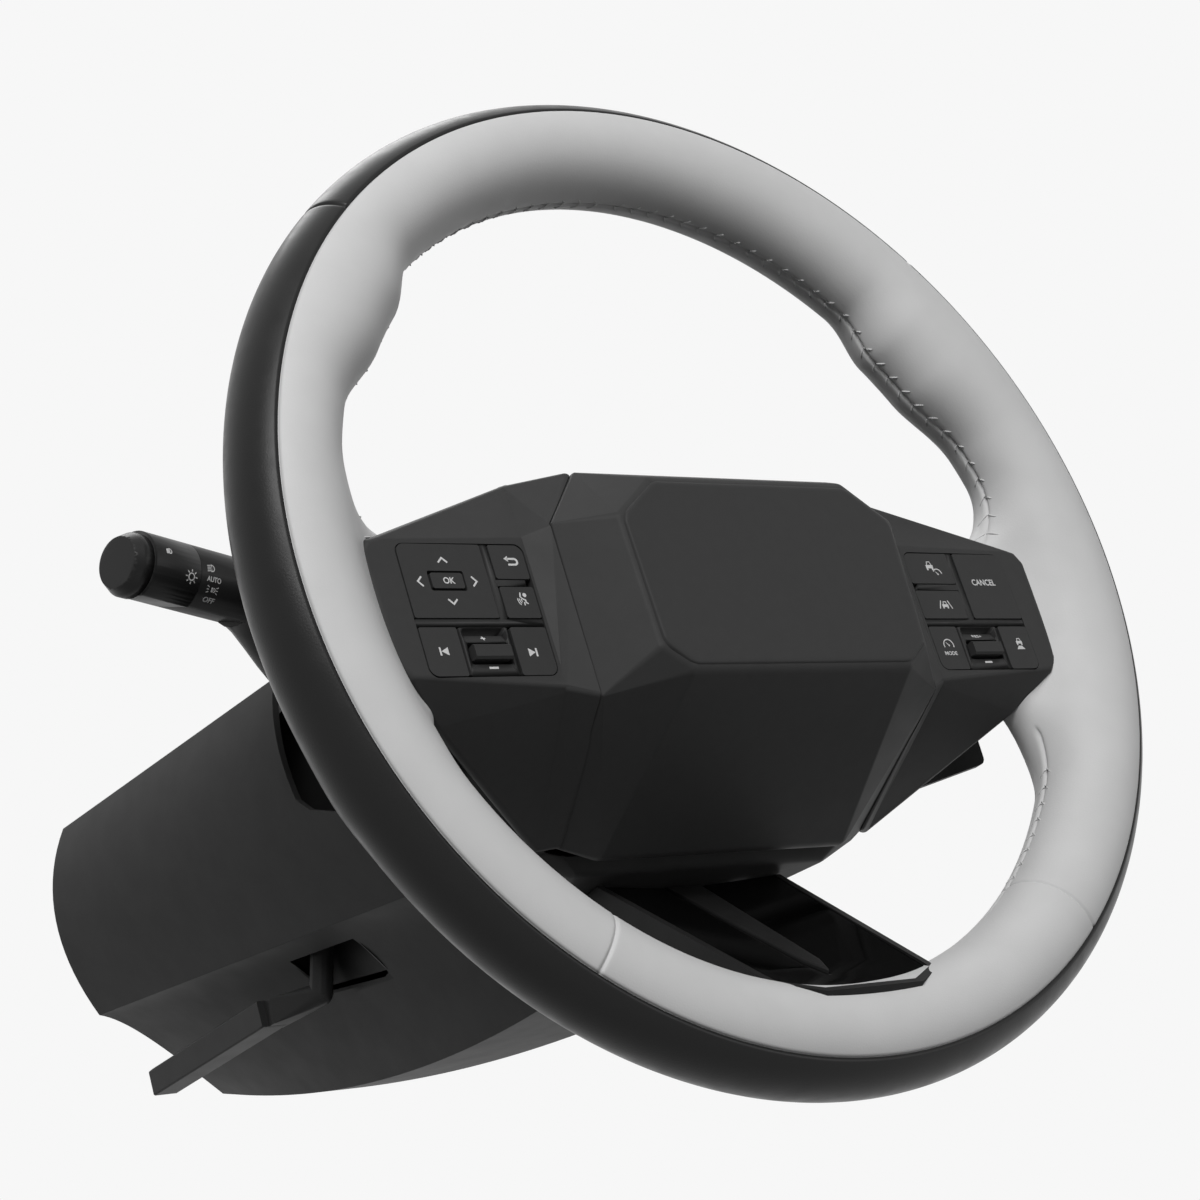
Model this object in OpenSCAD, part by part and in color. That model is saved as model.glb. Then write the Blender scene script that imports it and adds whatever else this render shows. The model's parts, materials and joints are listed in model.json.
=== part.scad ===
// Car steering wheel on its column: a round leather rim with thumb rests, two
// side spokes with switch pads, a faceted airbag cover, a sloping lower spoke,
// the raked column with tilt and reach, two stalks, paddles and a two-piece shroud.
// The origin is the centre of the four bolt holes, on the top face of the mounting
// bracket. +X is to the driver's right, +Y is forward and +Z is up.

/* [Rim] */
// Outer diameter of the wheel
rim_d = 370; // [350:1:400]
// Diameter of the grip's round section
grip_d = 37; // [32:0.5:40]
// Thickness of the leather
leather_t = 1.2; // [0.8:0.1:2]
// Where the two colours of leather meet, in degrees round the grip from its outside
front_seam = 58; // [45:1:75]
// Half of the lower leather panel, in degrees round the rim
lower_panel_a = 37; // [32:1:42]
// Half of the upper dark panel, in degrees round the rim
upper_panel_a = 45; // [35:1:55]
// How far each thumb rest stands in from the plain grip
thumb_rise = 7; // [3:0.5:9]
// Diameter of the metal ring inside the grip
core_d = 13; // [10:0.5:16]

/* [Airbag cover] */
// Width of the raised face
face_w = 120; // [108:1:128]
// Height of the raised face
face_h = 70; // [64:1:74]
// How far the raised face stands in front of the rim's middle
face_z = 28; // [24:0.5:32]
// Width of the cover where it meets the switch bezels
cover_w = 148; // [146:1:152]
// Wall of the cover
cover_wall = 2.2; // [1.8:0.1:3]
// How far the cover moves in to sound the horn
horn_travel = 1.5; // [0.5:0.1:2]

/* [Switch pads] */
// Distance from the steering axis to the middle of each pad
pad_x = 107.9; // [107:0.1:109]
// Width of a pad's opening
pad_w = 49; // [47:0.5:50]
// Height of a pad's opening
pad_h = 47.4; // [46:0.1:48]
// How far each pad leans back at its top, in degrees
pad_tilt = 2.5; // [0:0.5:4]
// Gap round each key
key_gap = 0.35; // [0.25:0.05:0.6]
// Depth of a key
key_depth = 8; // [7:0.5:9]
// Width of the fixed strips between the keys
strip_w = 2.6; // [2:0.1:3.2]
// Travel of a key
key_travel = 0.7; // [0.4:0.05:0.8]
// Wall of the switch bezels
bezel_wall = 2; // [1.6:0.1:2.4]

/* [Lower spoke] */
// Width of the spoke at the rim
spoke_w = 72; // [66:1:78]
// Depth of the spoke's tray
spoke_depth = 14.5; // [13.5:0.5:16]
// Wall of the spoke's tray
spoke_wall = 2.6; // [2:0.1:3.2]

/* [Paddles] */
// Distance from the steering axis to a paddle's outer edge
paddle_x = 141; // [130:1:144]
// Thickness of a paddle
paddle_t = 3.4; // [3:0.2:4]

/* [Column] */
// Angle of the steering axis below level, towards the front
rake = 25; // [23:0.5:27]
// Level distance from the mounting bolts back to the rim's middle
wheel_ahead = 376; // [372:1:380]
// Height of the rim's middle above the mounting face
wheel_rise = 118; // [114:1:122]
// Diameter of the steering shaft
shaft_d = 19; // [17:0.5:20]
// Inside diameter of the sliding jacket
jacket_bore = 34; // [32:0.5:36]
// Wall of the sliding jacket
jacket_wall = 3.45; // [3:0.05:4]
// Reach adjustment to each side of the middle
reach_travel = 20; // [15:1:22]
// Running clearance of the turning and sliding fits
fit_gap = 0.05; // [0.02:0.01:0.09]
// Thickness of the bracket's steel
bracket_t = 3.5; // [3:0.5:4.5]
// Distance between the bolt holes across the car
bolt_x = 68; // [64:1:72]
// Distance between the bolt holes along the car
bolt_y = 28; // [24:1:32]
// Diameter of the bolt holes
bolt_hole_d = 8.5; // [7:0.5:10]
// Diameter of the clamp bolt
clamp_d = 8; // [7:0.5:9]

/* [Shroud] */
// Width across the shoulders
shroud_w = 156; // [150:1:166]
// Wall of the shroud
shroud_wall = 2.5; // [2:0.1:3]
// Distance from the rim's middle back to the shroud's front edge
shroud_front = 82; // [81:0.5:86]

/* [Stalks] */
// Diameter of a stalk's knob
stalk_d = 25; // [22:0.5:26]
// Length of a knob
knob_len = 33; // [28:1:36]
// Lean of the stalks towards the driver, in degrees
stalk_lean = 15.5; // [12:0.5:18]

/* [Hidden] */
$fn = 72;
eps = 0.01;
// Working gap between pieces that must not rub
clear = 0.3;
// Fineness of the round corners on skins, and of the cutters made from them
round_fn = 16;
cutter_fn = 12;

// The rim's derived sizes
grip_r = grip_d / 2;
ring_r = rim_d / 2 - grip_r;
inner_r = ring_r - grip_r;
core_r = core_d / 2;
foam_r = grip_r - leather_t - 0.6;

// The rim's frame: X right, Y up in the wheel's plane and Z towards the driver
module at_wheel() translate([0, -wheel_ahead, wheel_rise]) rotate([90 - rake, 0, 0]) children();
module both_sides() {
    children();
    mirror([1, 0, 0]) children();
}
module on_side(side) mirror([side < 0 ? 1 : 0, 0, 0]) children();

// A list of spheres' centres wrapped in one skin, with their mirror images where asked
module skin(centres, r, mirrored = false, fn = round_fn) {
    hull() {
        for (c = centres) {
            translate(c) sphere(r, $fn = fn);
            if (mirrored) translate([-c[0], c[1], c[2]]) sphere(r, $fn = fn);
        }
    }
}
function shifted(centres, by) = [for (c = centres) c + by];

// A quadratic curve's point at t
function bend(a, b, c, t) = (1 - t) * (1 - t) * a + 2 * t * (1 - t) * b + t * t * c;

// A closed skin through rings of points, with flat ends. Rings of a band go out along its face and back inside it
module loft(rings, band = false) {
    n = len(rings[0]);
    m = len(rings);
    quads = [for (i = [0 : m - 2], j = [0 : n - 1]) let (k = (j + 1) % n)
        [i * n + j, i * n + k, (i + 1) * n + k, (i + 1) * n + j]];
    disc = [[for (j = [0 : n - 1]) j]];
    strips = [for (j = [0 : n / 2 - 2]) each [[j, j + 1, n - 2 - j], [j, n - 2 - j, n - 1 - j]]];
    ends = band ? strips : disc;
    halves = [for (q = quads) each [[q[0], q[1], q[2]], [q[0], q[2], q[3]]]];
    start = [for (f = ends) reversed(f)];
    end = [for (f = ends) [for (j = f) (m - 1) * n + j]];
    polyhedron(points = [for (r = rings) each r], faces = concat(start, halves, end), convexity = 8);
}

module rounded_plate(w, h, t, r) {
    linear_extrude(t) {
        for (a = [[w - 2 * r, h], [w, h - 2 * r]]) square(a, center = true);
        for (x = [-1, 1], y = [-1, 1]) translate([x * (w / 2 - r), y * (h / 2 - r)]) circle(r);
    }
}
module cylinder_between(z0, z1, r) translate([0, 0, z0]) cylinder(h = z1 - z0, r = r);
module ring_between(z0, z1, r_out, r_in) {
    difference() {
        cylinder_between(z0, z1, r_out);
        cylinder_between(z0 - 1, z1 + 1, r_in);
    }
}
// A cylinder along X between two places
module cross_cylinder(x0, x1, y, z, r) {
    translate([x0, y, z]) rotate([0, 90, 0]) cylinder(h = x1 - x0, r = r);
}
module box_between(a, b) translate(a) cube(b - a);

// Rim
module grip_torus(r) rotate_extrude() translate([ring_r, 0]) circle(r);

// Thumb rests are straight bars let into the grip's inner side
thumb_a = 146;
thumb_r = 13;
module thumb_rests() {
    for (a = [thumb_a, 180 - thumb_a]) rotate([0, 0, a]) translate([inner_r - thumb_rise + thumb_r, 0, 0]) rotate([90, 0, 0])
        cylinder(h = 2 * sqrt(2 * thumb_rise * inner_r), r = thumb_r, center = true);
}
// Half of the leather's section, from one colour seam to the other
module leather(a0, a1, turn) {
    rotate([0, 0, a0]) rotate_extrude(angle = a1 - a0) translate([ring_r, 0]) intersection() {
        difference() {
            circle(grip_r);
            circle(grip_r - leather_t);
        }
        rotate(front_seam + turn) translate([-grip_d, seam_gap / 2]) square([2 * grip_d, grip_d]);
    }
}
seam_gap = 0.6;
// Gap between two leather panels, in degrees round the rim
panel_gap = 0.1;

// The padded side spokes, from the grip in to the hub
spoke_pad_r = 6.5;
spoke_pad_z = -12;
side_spoke = [
    [118, 11, spoke_pad_z], [110, -55, spoke_pad_z],
    [inner_r + 2, 19, spoke_pad_z + 4], [inner_r - 4, -73, spoke_pad_z + 4]
];
// The metal spoke's outline from the side, from the hub's plate out to the ring
hub_plate_z = -64;
hub_plate_t = 5;
bar_t = 5.5;
bar_h = 20;
bar_y = -24;
module side_bar(grow = 0) {
    top = spoke_pad_z + bar_t / 2;
    low = spoke_pad_z - bar_t / 2;
    translate([0, bar_y + bar_h / 2 + grow, 0]) rotate([90, 0, 0]) linear_extrude(bar_h + 2 * grow) {
        polygon([
            [20, hub_plate_z - grow], [63, hub_plate_z - grow], [106, low - grow],
            [ring_r - 14, low - grow], [ring_r + 1, -core_r + 1 - grow],
            [ring_r - 5, 1 + grow], [ring_r - 16, top + grow], [103, top + grow],
            [60, hub_plate_z + hub_plate_t + grow], [20, hub_plate_z + hub_plate_t + grow]
        ]);
    }
}
module upper_light_leather() {
    color("gainsboro") at_wheel() difference() {
        union() {
            leather(lower_panel_a - 90 + panel_gap, 270 - lower_panel_a - panel_gap, 0);
            difference() {
                union() {
                    thumb_rests();
                    both_sides() skin(side_spoke, spoke_pad_r);
                }
                grip_torus(grip_r - leather_t);
            }
        }
        both_sides() {
            side_bar(clear);
            skin(bezel_main, bezel_r + clear, false, cutter_fn);
        }
    }
}
module lower_light_leather() {
    color("gainsboro") at_wheel() difference() {
        leather(270 - lower_panel_a, 270 + lower_panel_a, 0);
        tray_block(clear);
        lower_ribs(clear);
    }
}
module upper_dark_leather() {
    color("#2b2b2d") at_wheel() leather(90 - upper_panel_a + panel_gap, 90 + upper_panel_a - panel_gap, 180);
}
module lower_dark_leather() {
    color("#2b2b2d") at_wheel() leather(90 + upper_panel_a, 450 - upper_panel_a, 180);
}
module rim_foam() {
    color("#55524e") at_wheel() difference() {
        grip_torus(foam_r);
        grip_torus(core_r + fit_gap);
        both_sides() side_bar(clear);
        lower_ribs(clear);
        tray_block(clear);
    }
}

// The cast armature: ring, side bars, lower ribs, hub plate and splined boss
boss_r = 20;
boss_top = -50;
rib_x = 15;
rib_w = 7;
module lower_ribs(grow = 0) {
    both_sides() translate([rib_x - rib_w / 2 - grow, 0, 0]) rotate([90, 0, 90]) {
        linear_extrude(rib_w + 2 * grow) polygon([
            [-20, hub_plate_z - grow], [-88, hub_plate_z - 8 - grow], [-97, hub_plate_z - 7 - grow],
            [-151 - grow, -9], [-ring_r - 1, -core_r + 1 - grow], [-ring_r + 5, 1 + grow],
            [-148, -3 + grow], [-92 + grow, hub_plate_z - 2], [-86, hub_plate_z - 2 + grow],
            [-20, hub_plate_z + hub_plate_t + grow]
        ]);
    }
}
module rim_armature() {
    color("silver") at_wheel() difference() {
        union() {
            grip_torus(core_r);
            both_sides() side_bar();
            lower_ribs();
            translate([0, bar_y, hub_plate_z]) rounded_plate(110, 44, hub_plate_t, 10);
            cylinder_between(hub_plate_z - 2, boss_top, boss_r);
        }
        cylinder_between(hub_plate_z - 3, boss_top + 1, seat_r + fit_gap);
        for (x = [-1, 1]) translate([40 * x, bar_y, hub_plate_z - 1]) cylinder(h = hub_plate_t + 2, r = 6);
    }
}

// Airbag cover
cover_r = 3;
face_mid_y = -12.5;
face_top = face_mid_y + face_h / 2;
face_low = face_mid_y - face_h / 2;
cover_back_z = -42;
cover_centres = [
    [face_w / 2 - 18, face_top - 2, face_z - cover_r], [face_w / 2 - 1.5, face_top - 15, face_z - cover_r],
    [face_w / 2 - 3.5, face_low + 8.5, face_z - cover_r + 0.5], [face_w / 2 - 13, face_low + 1, face_z - cover_r + 1],
    [cover_w / 2 - 20, 29.5, 5.5], [cover_w / 2 - 3, 11, 10.8], [cover_w / 2 - 4.5, -46, 10.5],
    [cover_w / 2 - 8.5, -78.5, -42], [cover_w / 2 - 21, -84, -38.5],
    [cover_w / 2 - 20, 30.5, cover_back_z], [cover_w / 2 - 3, 11, cover_back_z]
];
// Room for the cover, at rest and pressed in
module cover_cutter() {
    pressed = shifted(cover_centres, [0, 0, -horn_travel - clear]);
    skin(concat(cover_centres, pressed), cover_r + 0.4, true, cutter_fn);
}
module airbag_cover() {
    cavity = concat(cover_centres, shifted(cover_centres, [0, 0, -30]));
    color("#2f2f31") at_wheel() difference() {
        skin(cover_centres, cover_r, true);
        skin(cavity, cover_r - cover_wall, true, cutter_fn);
    }
    // Ribs that clip round the airbag's housing
    color("#2f2f31") at_wheel() both_sides() {
        for (y = [-38, -6]) box_between([housing_w / 2 + clear, y, housing_low + 2],
            [cover_w / 2 - 2 + 0.035 * y, y + 3, housing_top + 6]);
    }
}
housing_w = 112;
housing_top = -4;
inflator_r = 26;
housing_low = -30;
module airbag_housing() {
    color("dimgray") at_wheel() difference() {
        translate([0, -20, housing_low]) rounded_plate(housing_w, 72, housing_top - housing_low, 10);
        translate([0, -20, housing_low + 2]) rounded_plate(housing_w - 4, 68, housing_top - housing_low, 8);
        translate([0, -20, housing_low - 1]) cylinder(h = 4, r = inflator_r + 0.5);
    }
}
module airbag_inflator() {
    color("slategray") at_wheel() translate([0, -20, 0]) {
        cylinder_between(housing_low - 3.6, housing_low + 24, inflator_r);
        cylinder_between(housing_low + 2.2, housing_low + 5, inflator_r + 6);
    }
}

// Switch bezels
bezel_r = 2.5;
bezel_out = inner_r - 6;
bezel_main = [
    [80, 9.5, 4], [136, 8.3, 1.6], [bezel_out + 0.8, 4.5, 1.8], [bezel_out - 0.4, -31, 3.4],
    [bezel_out - 3.5, -37.5, 4], [79, -42.5, 5], [121, 15.3, -4.5], [104, 23.8, -11.5],
    [73, 27, -9], [124, -49, -7.5], [100, -60, -24.5], [72, -78, -43.5]
];
bezel_flank = [
    [80, 9.5, 4], [79, -42.5, 5], [cover_w / 2 + 3, 9.5, 11], [cover_w / 2 + 2.5, -44, 10.8],
    [cover_w / 2 - 1, 9, -8], [cover_w / 2 - 1, -50, -8], [cover_w / 2 - 2, 26, -6], [cover_w / 2 - 2, -76, -41]
];
// The pad's frame: its middle, leaning back at the top
pad_y = -16.1;
pad_z = 5.8;
module at_pad(side) translate([side * pad_x, pad_y, pad_z]) rotate([-pad_tilt, 0, 0]) children();
base_top = -key_depth - 1;
base_t = 3;
pocket_wall = 1.6;
pad_corner = 3.5;
module bezel(side) {
    color("#333335") at_wheel() difference() {
        union() {
            difference() {
                on_side(side) {
                    skin(bezel_main, bezel_r);
                    skin(bezel_flank, bezel_r);
                }
                on_side(side) skin(concat(bezel_main, shifted(bezel_main, [-4, 0, -30])), bezel_r - bezel_wall,
                    false, cutter_fn);
            }
            intersection() {
                on_side(side) skin(bezel_main, bezel_r);
                at_pad(side) translate([0, 0, base_top - base_t])
                    rounded_plate(pad_w + 2 * pocket_wall, pad_h + 2 * pocket_wall, 30, pad_corner + pocket_wall);
            }
        }
        at_pad(side) translate([0, 0, base_top - base_t - 1]) rounded_plate(pad_w, pad_h, 30, pad_corner);
        cover_cutter();
    }
}

// Keys: each is [left, right, low, high] from the pad's middle, left and right being the driver's
half_w = pad_w / 2;
half_h = pad_h / 2;
row_y = -4.7;
module key(side, cell, low = -key_depth, high = 0) {
    at_pad(side) translate([(cell[0] + cell[1]) / 2, (cell[2] + cell[3]) / 2, low])
        rounded_plate(cell[1] - cell[0] - 2 * key_gap, cell[3] - cell[2] - 2 * key_gap, high - low, 0.8);
}
module corner_key(side, cell, low = -key_depth, high = 0) {
    intersection() {
        key(side, cell, low, high);
        at_pad(side) translate([0, 0, low - 1])
            rounded_plate(pad_w - 2 * key_gap, pad_h - 2 * key_gap, high - low + 2, pad_corner - key_gap);
    }
}
row_top = row_y - strip_w / 2;
row_above = row_y + strip_w / 2;
left_post = 9.4;
right_post = -1.3;
bar_mid = 9.6;
bar_h2 = 1.1;
nav_cell = [-half_w, left_post - strip_w / 2, row_above, half_h];
back_cell = [left_post + strip_w / 2, half_w, bar_mid + bar_h2, half_h];
voice_cell = [left_post + strip_w / 2, half_w, row_above, bar_mid - bar_h2];
previous_cell = [-half_w, -9.7, -half_h, row_top];
volume_cell = [-9.7, 10, -half_h, row_top];
next_cell = [10, half_w, -half_h, row_top];
cruise_cell = [-half_w, right_post - strip_w / 2, bar_mid + bar_h2, half_h];
lane_cell = [-half_w, right_post - strip_w / 2, row_above, bar_mid - bar_h2];
cancel_cell = [right_post + strip_w / 2, half_w, row_above, half_h];
mode_cell = [-half_w, -10.6, -half_h, row_top];
speed_cell = [-10.6, 9.7, -half_h, row_top];
distance_cell = [9.7, half_w, -half_h, row_top];
ok_w = 12.8;
ok_h = 6.2;
ok_at = [(nav_cell[0] + nav_cell[1]) / 2, (nav_cell[2] + nav_cell[3]) / 2];
ok_cell = [ok_at[0] - ok_w / 2, ok_at[0] + ok_w / 2, ok_at[1] - ok_h / 2, ok_at[1] + ok_h / 2];
nav_depth = 5;
toggle_w = 14;
toggle_h = 5.6;
module toggle_block(side, cell) {
    mid = (cell[0] + cell[1]) / 2;
    difference() {
        key(side, cell, base_top - eps, -0.3);
        at_pad(side) {
            translate([mid, cell[3] - 3.6, -3.4]) rotate([-14, 0, 0]) rounded_plate(16.5, 4.4, 10, 0.8);
            translate([mid, toggle_y, -7]) rounded_plate(toggle_w + 1.6, toggle_h + 1.8, 20, 1);
        }
    }
}
// The fixed strips and toggle block stand on the switch base
module switch_base(side) {
    post_x = side < 0 ? left_post : right_post;
    cell = side < 0 ? volume_cell : speed_cell;
    bar = side < 0 ? [left_post + strip_w / 2 - eps, half_w - 2.6] : [-half_w + 2.6, right_post - strip_w / 2 + eps];
    color("#262628") at_wheel() {
        at_pad(side) {
            translate([0, 0, base_top - base_t]) rounded_plate(pad_w - 0.2, pad_h - 0.2, base_t, pad_corner);
            box_between([-half_w + key_gap, row_top, base_top - eps], [half_w - key_gap, row_above, -0.3]);
            box_between([post_x - strip_w / 2, row_above - eps, base_top - eps],
                [post_x + strip_w / 2, half_h - key_gap, -0.3]);
            box_between([bar[0], bar_mid - bar_h2, base_top - eps], [bar[1], bar_mid + bar_h2, -0.1]);
        }
        toggle_block(side, cell);
    }
}
module nav_gimbal() {
    color("gray") at_wheel() difference() {
        at_pad(-1) translate([ok_at[0], ok_at[1], -nav_depth - 2.3]) rounded_plate(18, 13, 1.8, 2);
        key(-1, ok_cell + [-0.8, 0.8, -0.8, 0.8], -20, 5);
    }
}
module nav_pad() {
    color("#38383a") at_wheel() difference() {
        corner_key(-1, nav_cell, -nav_depth, 0);
        key(-1, ok_cell + [-0.8, 0.8, -0.8, 0.8], -20, 5);
    }
}
toggle_y = -15.6;
// A toggle's bar stands proud of its block and rocks on a round root
module toggle(side, cell) {
    mid = (cell[0] + cell[1]) / 2;
    color("#3c3c3e") at_wheel() at_pad(side) translate([mid - toggle_w / 2, toggle_y, 0]) {
        rotate([90, 0, 90]) linear_extrude(toggle_w) {
            polygon([[-1.8, -4.4], [1.8, -4.4], [2.6, 1.4], [1.9, 2.2], [-1.9, 2.2], [-2.6, 1.4]]);
            translate([0, -4.4]) circle(1.5);
        }
    }
}

// Lower spoke: its frame has Y towards the hub and Z out of its face
spoke_end = [0, -142, 3.2];
spoke_slope = 49.3;
spoke_len = 90;
module at_spoke() translate(spoke_end) rotate([-spoke_slope, 0, 0]) children();
half_end = spoke_w / 2;
function tray_outline(inset, hub_y) = [
    [half_end + 5 - inset, hub_y], [half_end - inset, -1], [half_end - 0.6 - inset, -8 + inset * 0.6],
    [20.4 - inset * 0.4, -17.2 + inset], [-20.4 + inset * 0.4, -17.2 + inset],
    [-half_end + 0.6 + inset, -8 + inset * 0.6], [-half_end + inset, -1], [-half_end - 5 + inset, hub_y]
];
module tray_block(grow = 0) {
    at_spoke() translate([0, 0, -spoke_depth - grow])
        linear_extrude(spoke_depth + 2.4 + 2 * grow) polygon(tray_outline(-grow, spoke_len + grow));
}
module spoke_tray() {
    color("gray") at_wheel() difference() {
        intersection() {
            tray_block();
            union() {
                at_spoke() translate([-60, -60, -40]) cube([120, 200, 40]);
                at_spoke() translate([-60, -60, -1]) rotate([-24, 0, 0]) translate([0, 0, -40]) cube([120, 62, 57]);
            }
        }
        at_spoke() translate([0, 0, -spoke_depth + 1.5])
            linear_extrude(40) polygon(tray_outline(spoke_wall, spoke_len + 5));
        lower_ribs(clear);
        grip_torus(foam_r - 1);
        rear_cutter();
    }
}
// The two gloss panels slope down to the fin in the middle
panel_drop = 4;
fin_root = 8.2;
fin_tip = 3.5;
module spoke_panels() {
    color("#101012") at_wheel() difference() {
        intersection() {
            at_spoke() both_sides() rotate([90, 0, 0]) translate([0, 0, -spoke_len - 4]) linear_extrude(spoke_len + 30)
                polygon([[0, -panel_drop - 0.6], [half_end + 5, 0.2], [half_end + 5, -2], [0, -panel_drop - 2.8]]);
            at_spoke() translate([0, 0, -20])
                linear_extrude(40) polygon(tray_outline(spoke_wall + 0.15, spoke_len));
        }
        at_spoke() translate([0, 0, -20]) linear_extrude(40) polygon(fin_outline(0.15));
        rear_cutter();
    }
}
function fin_outline(grow) = [
    [fin_root + grow, spoke_len], [fin_tip + grow, 14], [0, 5 - grow], [-fin_tip - grow, 14], [-fin_root - grow, spoke_len]
];
module spoke_fin() {
    color("#4a4a4c") at_wheel() difference() {
        at_spoke() translate([0, 0, -panel_drop - 3]) linear_extrude(3.8) polygon(fin_outline(0));
        rear_cutter();
    }
}

// Rear cover of the hub
rear_r = 4;
rear_centres = [
    [105, 12, -20], [98, -50, -22], [97, 21, -17], [56, 27, -24], [54, 25, -60], [58, 18, -66],
    [58, -50, -68], [97, -56, -33], [70, -77, -52], [54, -84, -52], [42, -86, -71], [42, -60, -72]
];
module rear_cutter() skin(rear_centres, rear_r + 0.4, true, cutter_fn);
rear_wall = 2.2;
paddle_z = -44;
paddle_pin_x = 81;
paddle_pin_r = 2;
paddle_root = [-6, 14];
module hub_rear_cover() {
    inner = [for (c = rear_centres) [c[0], c[1], c[2] + (c[2] > -30 ? 24 : 0)]];
    color("#232325") at_wheel() {
        difference() {
            skin(rear_centres, rear_r, true);
            skin(inner, rear_r - rear_wall, true, cutter_fn);
            both_sides() {
                skin(bezel_main, bezel_r + 0.4, false, cutter_fn);
                box_between([paddle_pin_x - 6, paddle_root[0] - 3, paddle_z - 7], [120, paddle_root[1] + 3, paddle_z + 7]);
                side_bar(clear);
                skin(side_spoke, spoke_pad_r + 0.4, false, cutter_fn);
            }
            cover_cutter();
            cylinder_between(-100, -60, boss_r + 4);
            lower_ribs(clear);
        }
        both_sides() {
            translate([paddle_pin_x, paddle_root[0] - 3, paddle_z]) rotate([-90, 0, 0])
                cylinder(h = paddle_root[1] - paddle_root[0] + 6, r = paddle_pin_r);
            for (y = [paddle_root[0] - 6.6, paddle_root[1] + 3])
                box_between([paddle_pin_x - 5, y, paddle_z - 5], [paddle_pin_x + 9, y + 3.6, paddle_z + 5]);
        }
    }
}
module paddle(side) {
    out = paddle_x;
    color("#303032") at_wheel() on_side(side) difference() {
        union() {
            translate([0, 0, paddle_z - paddle_t / 2]) linear_extrude(paddle_t) {
                polygon([[paddle_pin_x, paddle_root[0]], [94, paddle_root[0]], [94, paddle_root[1]],
                    [paddle_pin_x, paddle_root[1]]]);
                hull() {
                    translate([96, 8]) circle(4, $fn = 24);
                    translate([out - 6, 12]) circle(6, $fn = 24);
                    translate([out - 3, -54]) circle(3, $fn = 24);
                    translate([103, -61]) circle(4, $fn = 24);
                }
            }
            translate([paddle_pin_x, paddle_root[0], paddle_z]) rotate([-90, 0, 0])
                cylinder(h = paddle_root[1] - paddle_root[0], r = paddle_pin_r + 2.6);
        }
        translate([paddle_pin_x, paddle_root[0] - 1, paddle_z]) rotate([-90, 0, 0])
            cylinder(h = paddle_root[1] - paddle_root[0] + 2, r = paddle_pin_r + fit_gap);
    }
}

// Steering shaft, in two pieces that slide in each other
shaft_r = shaft_d / 2;
seat_r = shaft_r - 1.5;
thread_r = seat_r - 2;
shaft_end = -300;
bore_end = -200;
flat_r = shaft_r - 3;
flat_w = 2 * flat_r - 3;
module double_flat(z0, z1, grow) {
    translate([0, 0, z0]) linear_extrude(z1 - z0) intersection() {
        circle(flat_r + grow);
        square([4 * flat_r, flat_w + 2 * grow], center = true);
    }
}
module steering_shaft() {
    color("gray") at_wheel() difference() {
        union() {
            cylinder_between(shaft_end, hub_plate_z - 2, shaft_r);
            cylinder_between(hub_plate_z - 2 - eps, boss_top, seat_r);
            cylinder_between(boss_top - eps, boss_top + 11, thread_r);
        }
        double_flat(shaft_end - 1, bore_end, fit_gap);
    }
}
module hub_nut() {
    color("darkgray") at_wheel() difference() {
        union() {
            cylinder_between(boss_top, boss_top + 2, thread_r + 5);
            translate([0, 0, boss_top + 2 - eps]) cylinder(h = 6, r = thread_r + 4.2, $fn = 6);
        }
        cylinder_between(boss_top - 1, boss_top + 10, thread_r + fit_gap);
    }
}
lower_end = -441;
lower_step = shaft_end - reach_travel - 5;
male_end = bore_end - reach_travel - 8;
lower_r = shaft_r - 0.5;
// The end that the next shaft's yoke slides on is turned down to a shoulder
spigot_r = lower_r - 0.8;
spigot_len = 28;
module lower_shaft() {
    color("darkgray") at_wheel() {
        cylinder_between(lower_end, lower_end + spigot_len, spigot_r);
        cylinder_between(lower_end + spigot_len, lower_step, lower_r);
        double_flat(lower_step - eps, male_end, 0);
    }
}
// Jackets: the outer one tilts on two bolts and the inner one slides in it
jacket_r = jacket_bore / 2 + jacket_wall;
sleeve_r = jacket_r + fit_gap;
sleeve_out = sleeve_r + 3.5;
pivot_z = -395;
sleeve_back = pivot_z - 10;
sleeve_front = -265;
seat_depth = 14;
bearing_out = jacket_bore / 2 - 1;
boss_x = 32.7;
cheek_in = boss_x + clear;
pivot_r = 4;
module outer_jacket() {
    color("lightsteelblue") at_wheel() difference() {
        union() {
            cylinder_between(sleeve_back, sleeve_front, sleeve_out);
            cross_cylinder(-boss_x, boss_x, 0, pivot_z, 9);
        }
        cylinder_between(sleeve_back + 3 + seat_depth, sleeve_front + 1, sleeve_r);
        cylinder_between(sleeve_back + 3, sleeve_back + 4 + seat_depth, bearing_out);
        cylinder_between(sleeve_back - 1, sleeve_back + 4, lower_r + 2);
        for (x = [-boss_x - 1, bearing_out + 1]) cross_cylinder(x, x + boss_x - bearing_out, 0, pivot_z, pivot_r + fit_gap);
    }
}
module lower_bearing() {
    color("gainsboro") at_wheel() ring_between(sleeve_back + 3, sleeve_back + 3 + seat_depth,
        bearing_out - fit_gap, lower_r + fit_gap);
}
module pivot_bolts() {
    x0 = bearing_out + 2;
    x1 = cheek_in + bracket_t;
    color("dimgray") at_wheel() both_sides() {
        cross_cylinder(x0, x1 + 1, 0, pivot_z, pivot_r);
        translate([x1, 0, pivot_z]) rotate([0, 90, 0]) cylinder(h = 5, r = 7.5, $fn = 6);
    }
}
clamp_y = -33;
clamp_z = -225;
clamp_r = clamp_d / 2;
ear_back = -242;
ear_front = -208;
jacket_back = -337;
jacket_front = -118;
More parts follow.
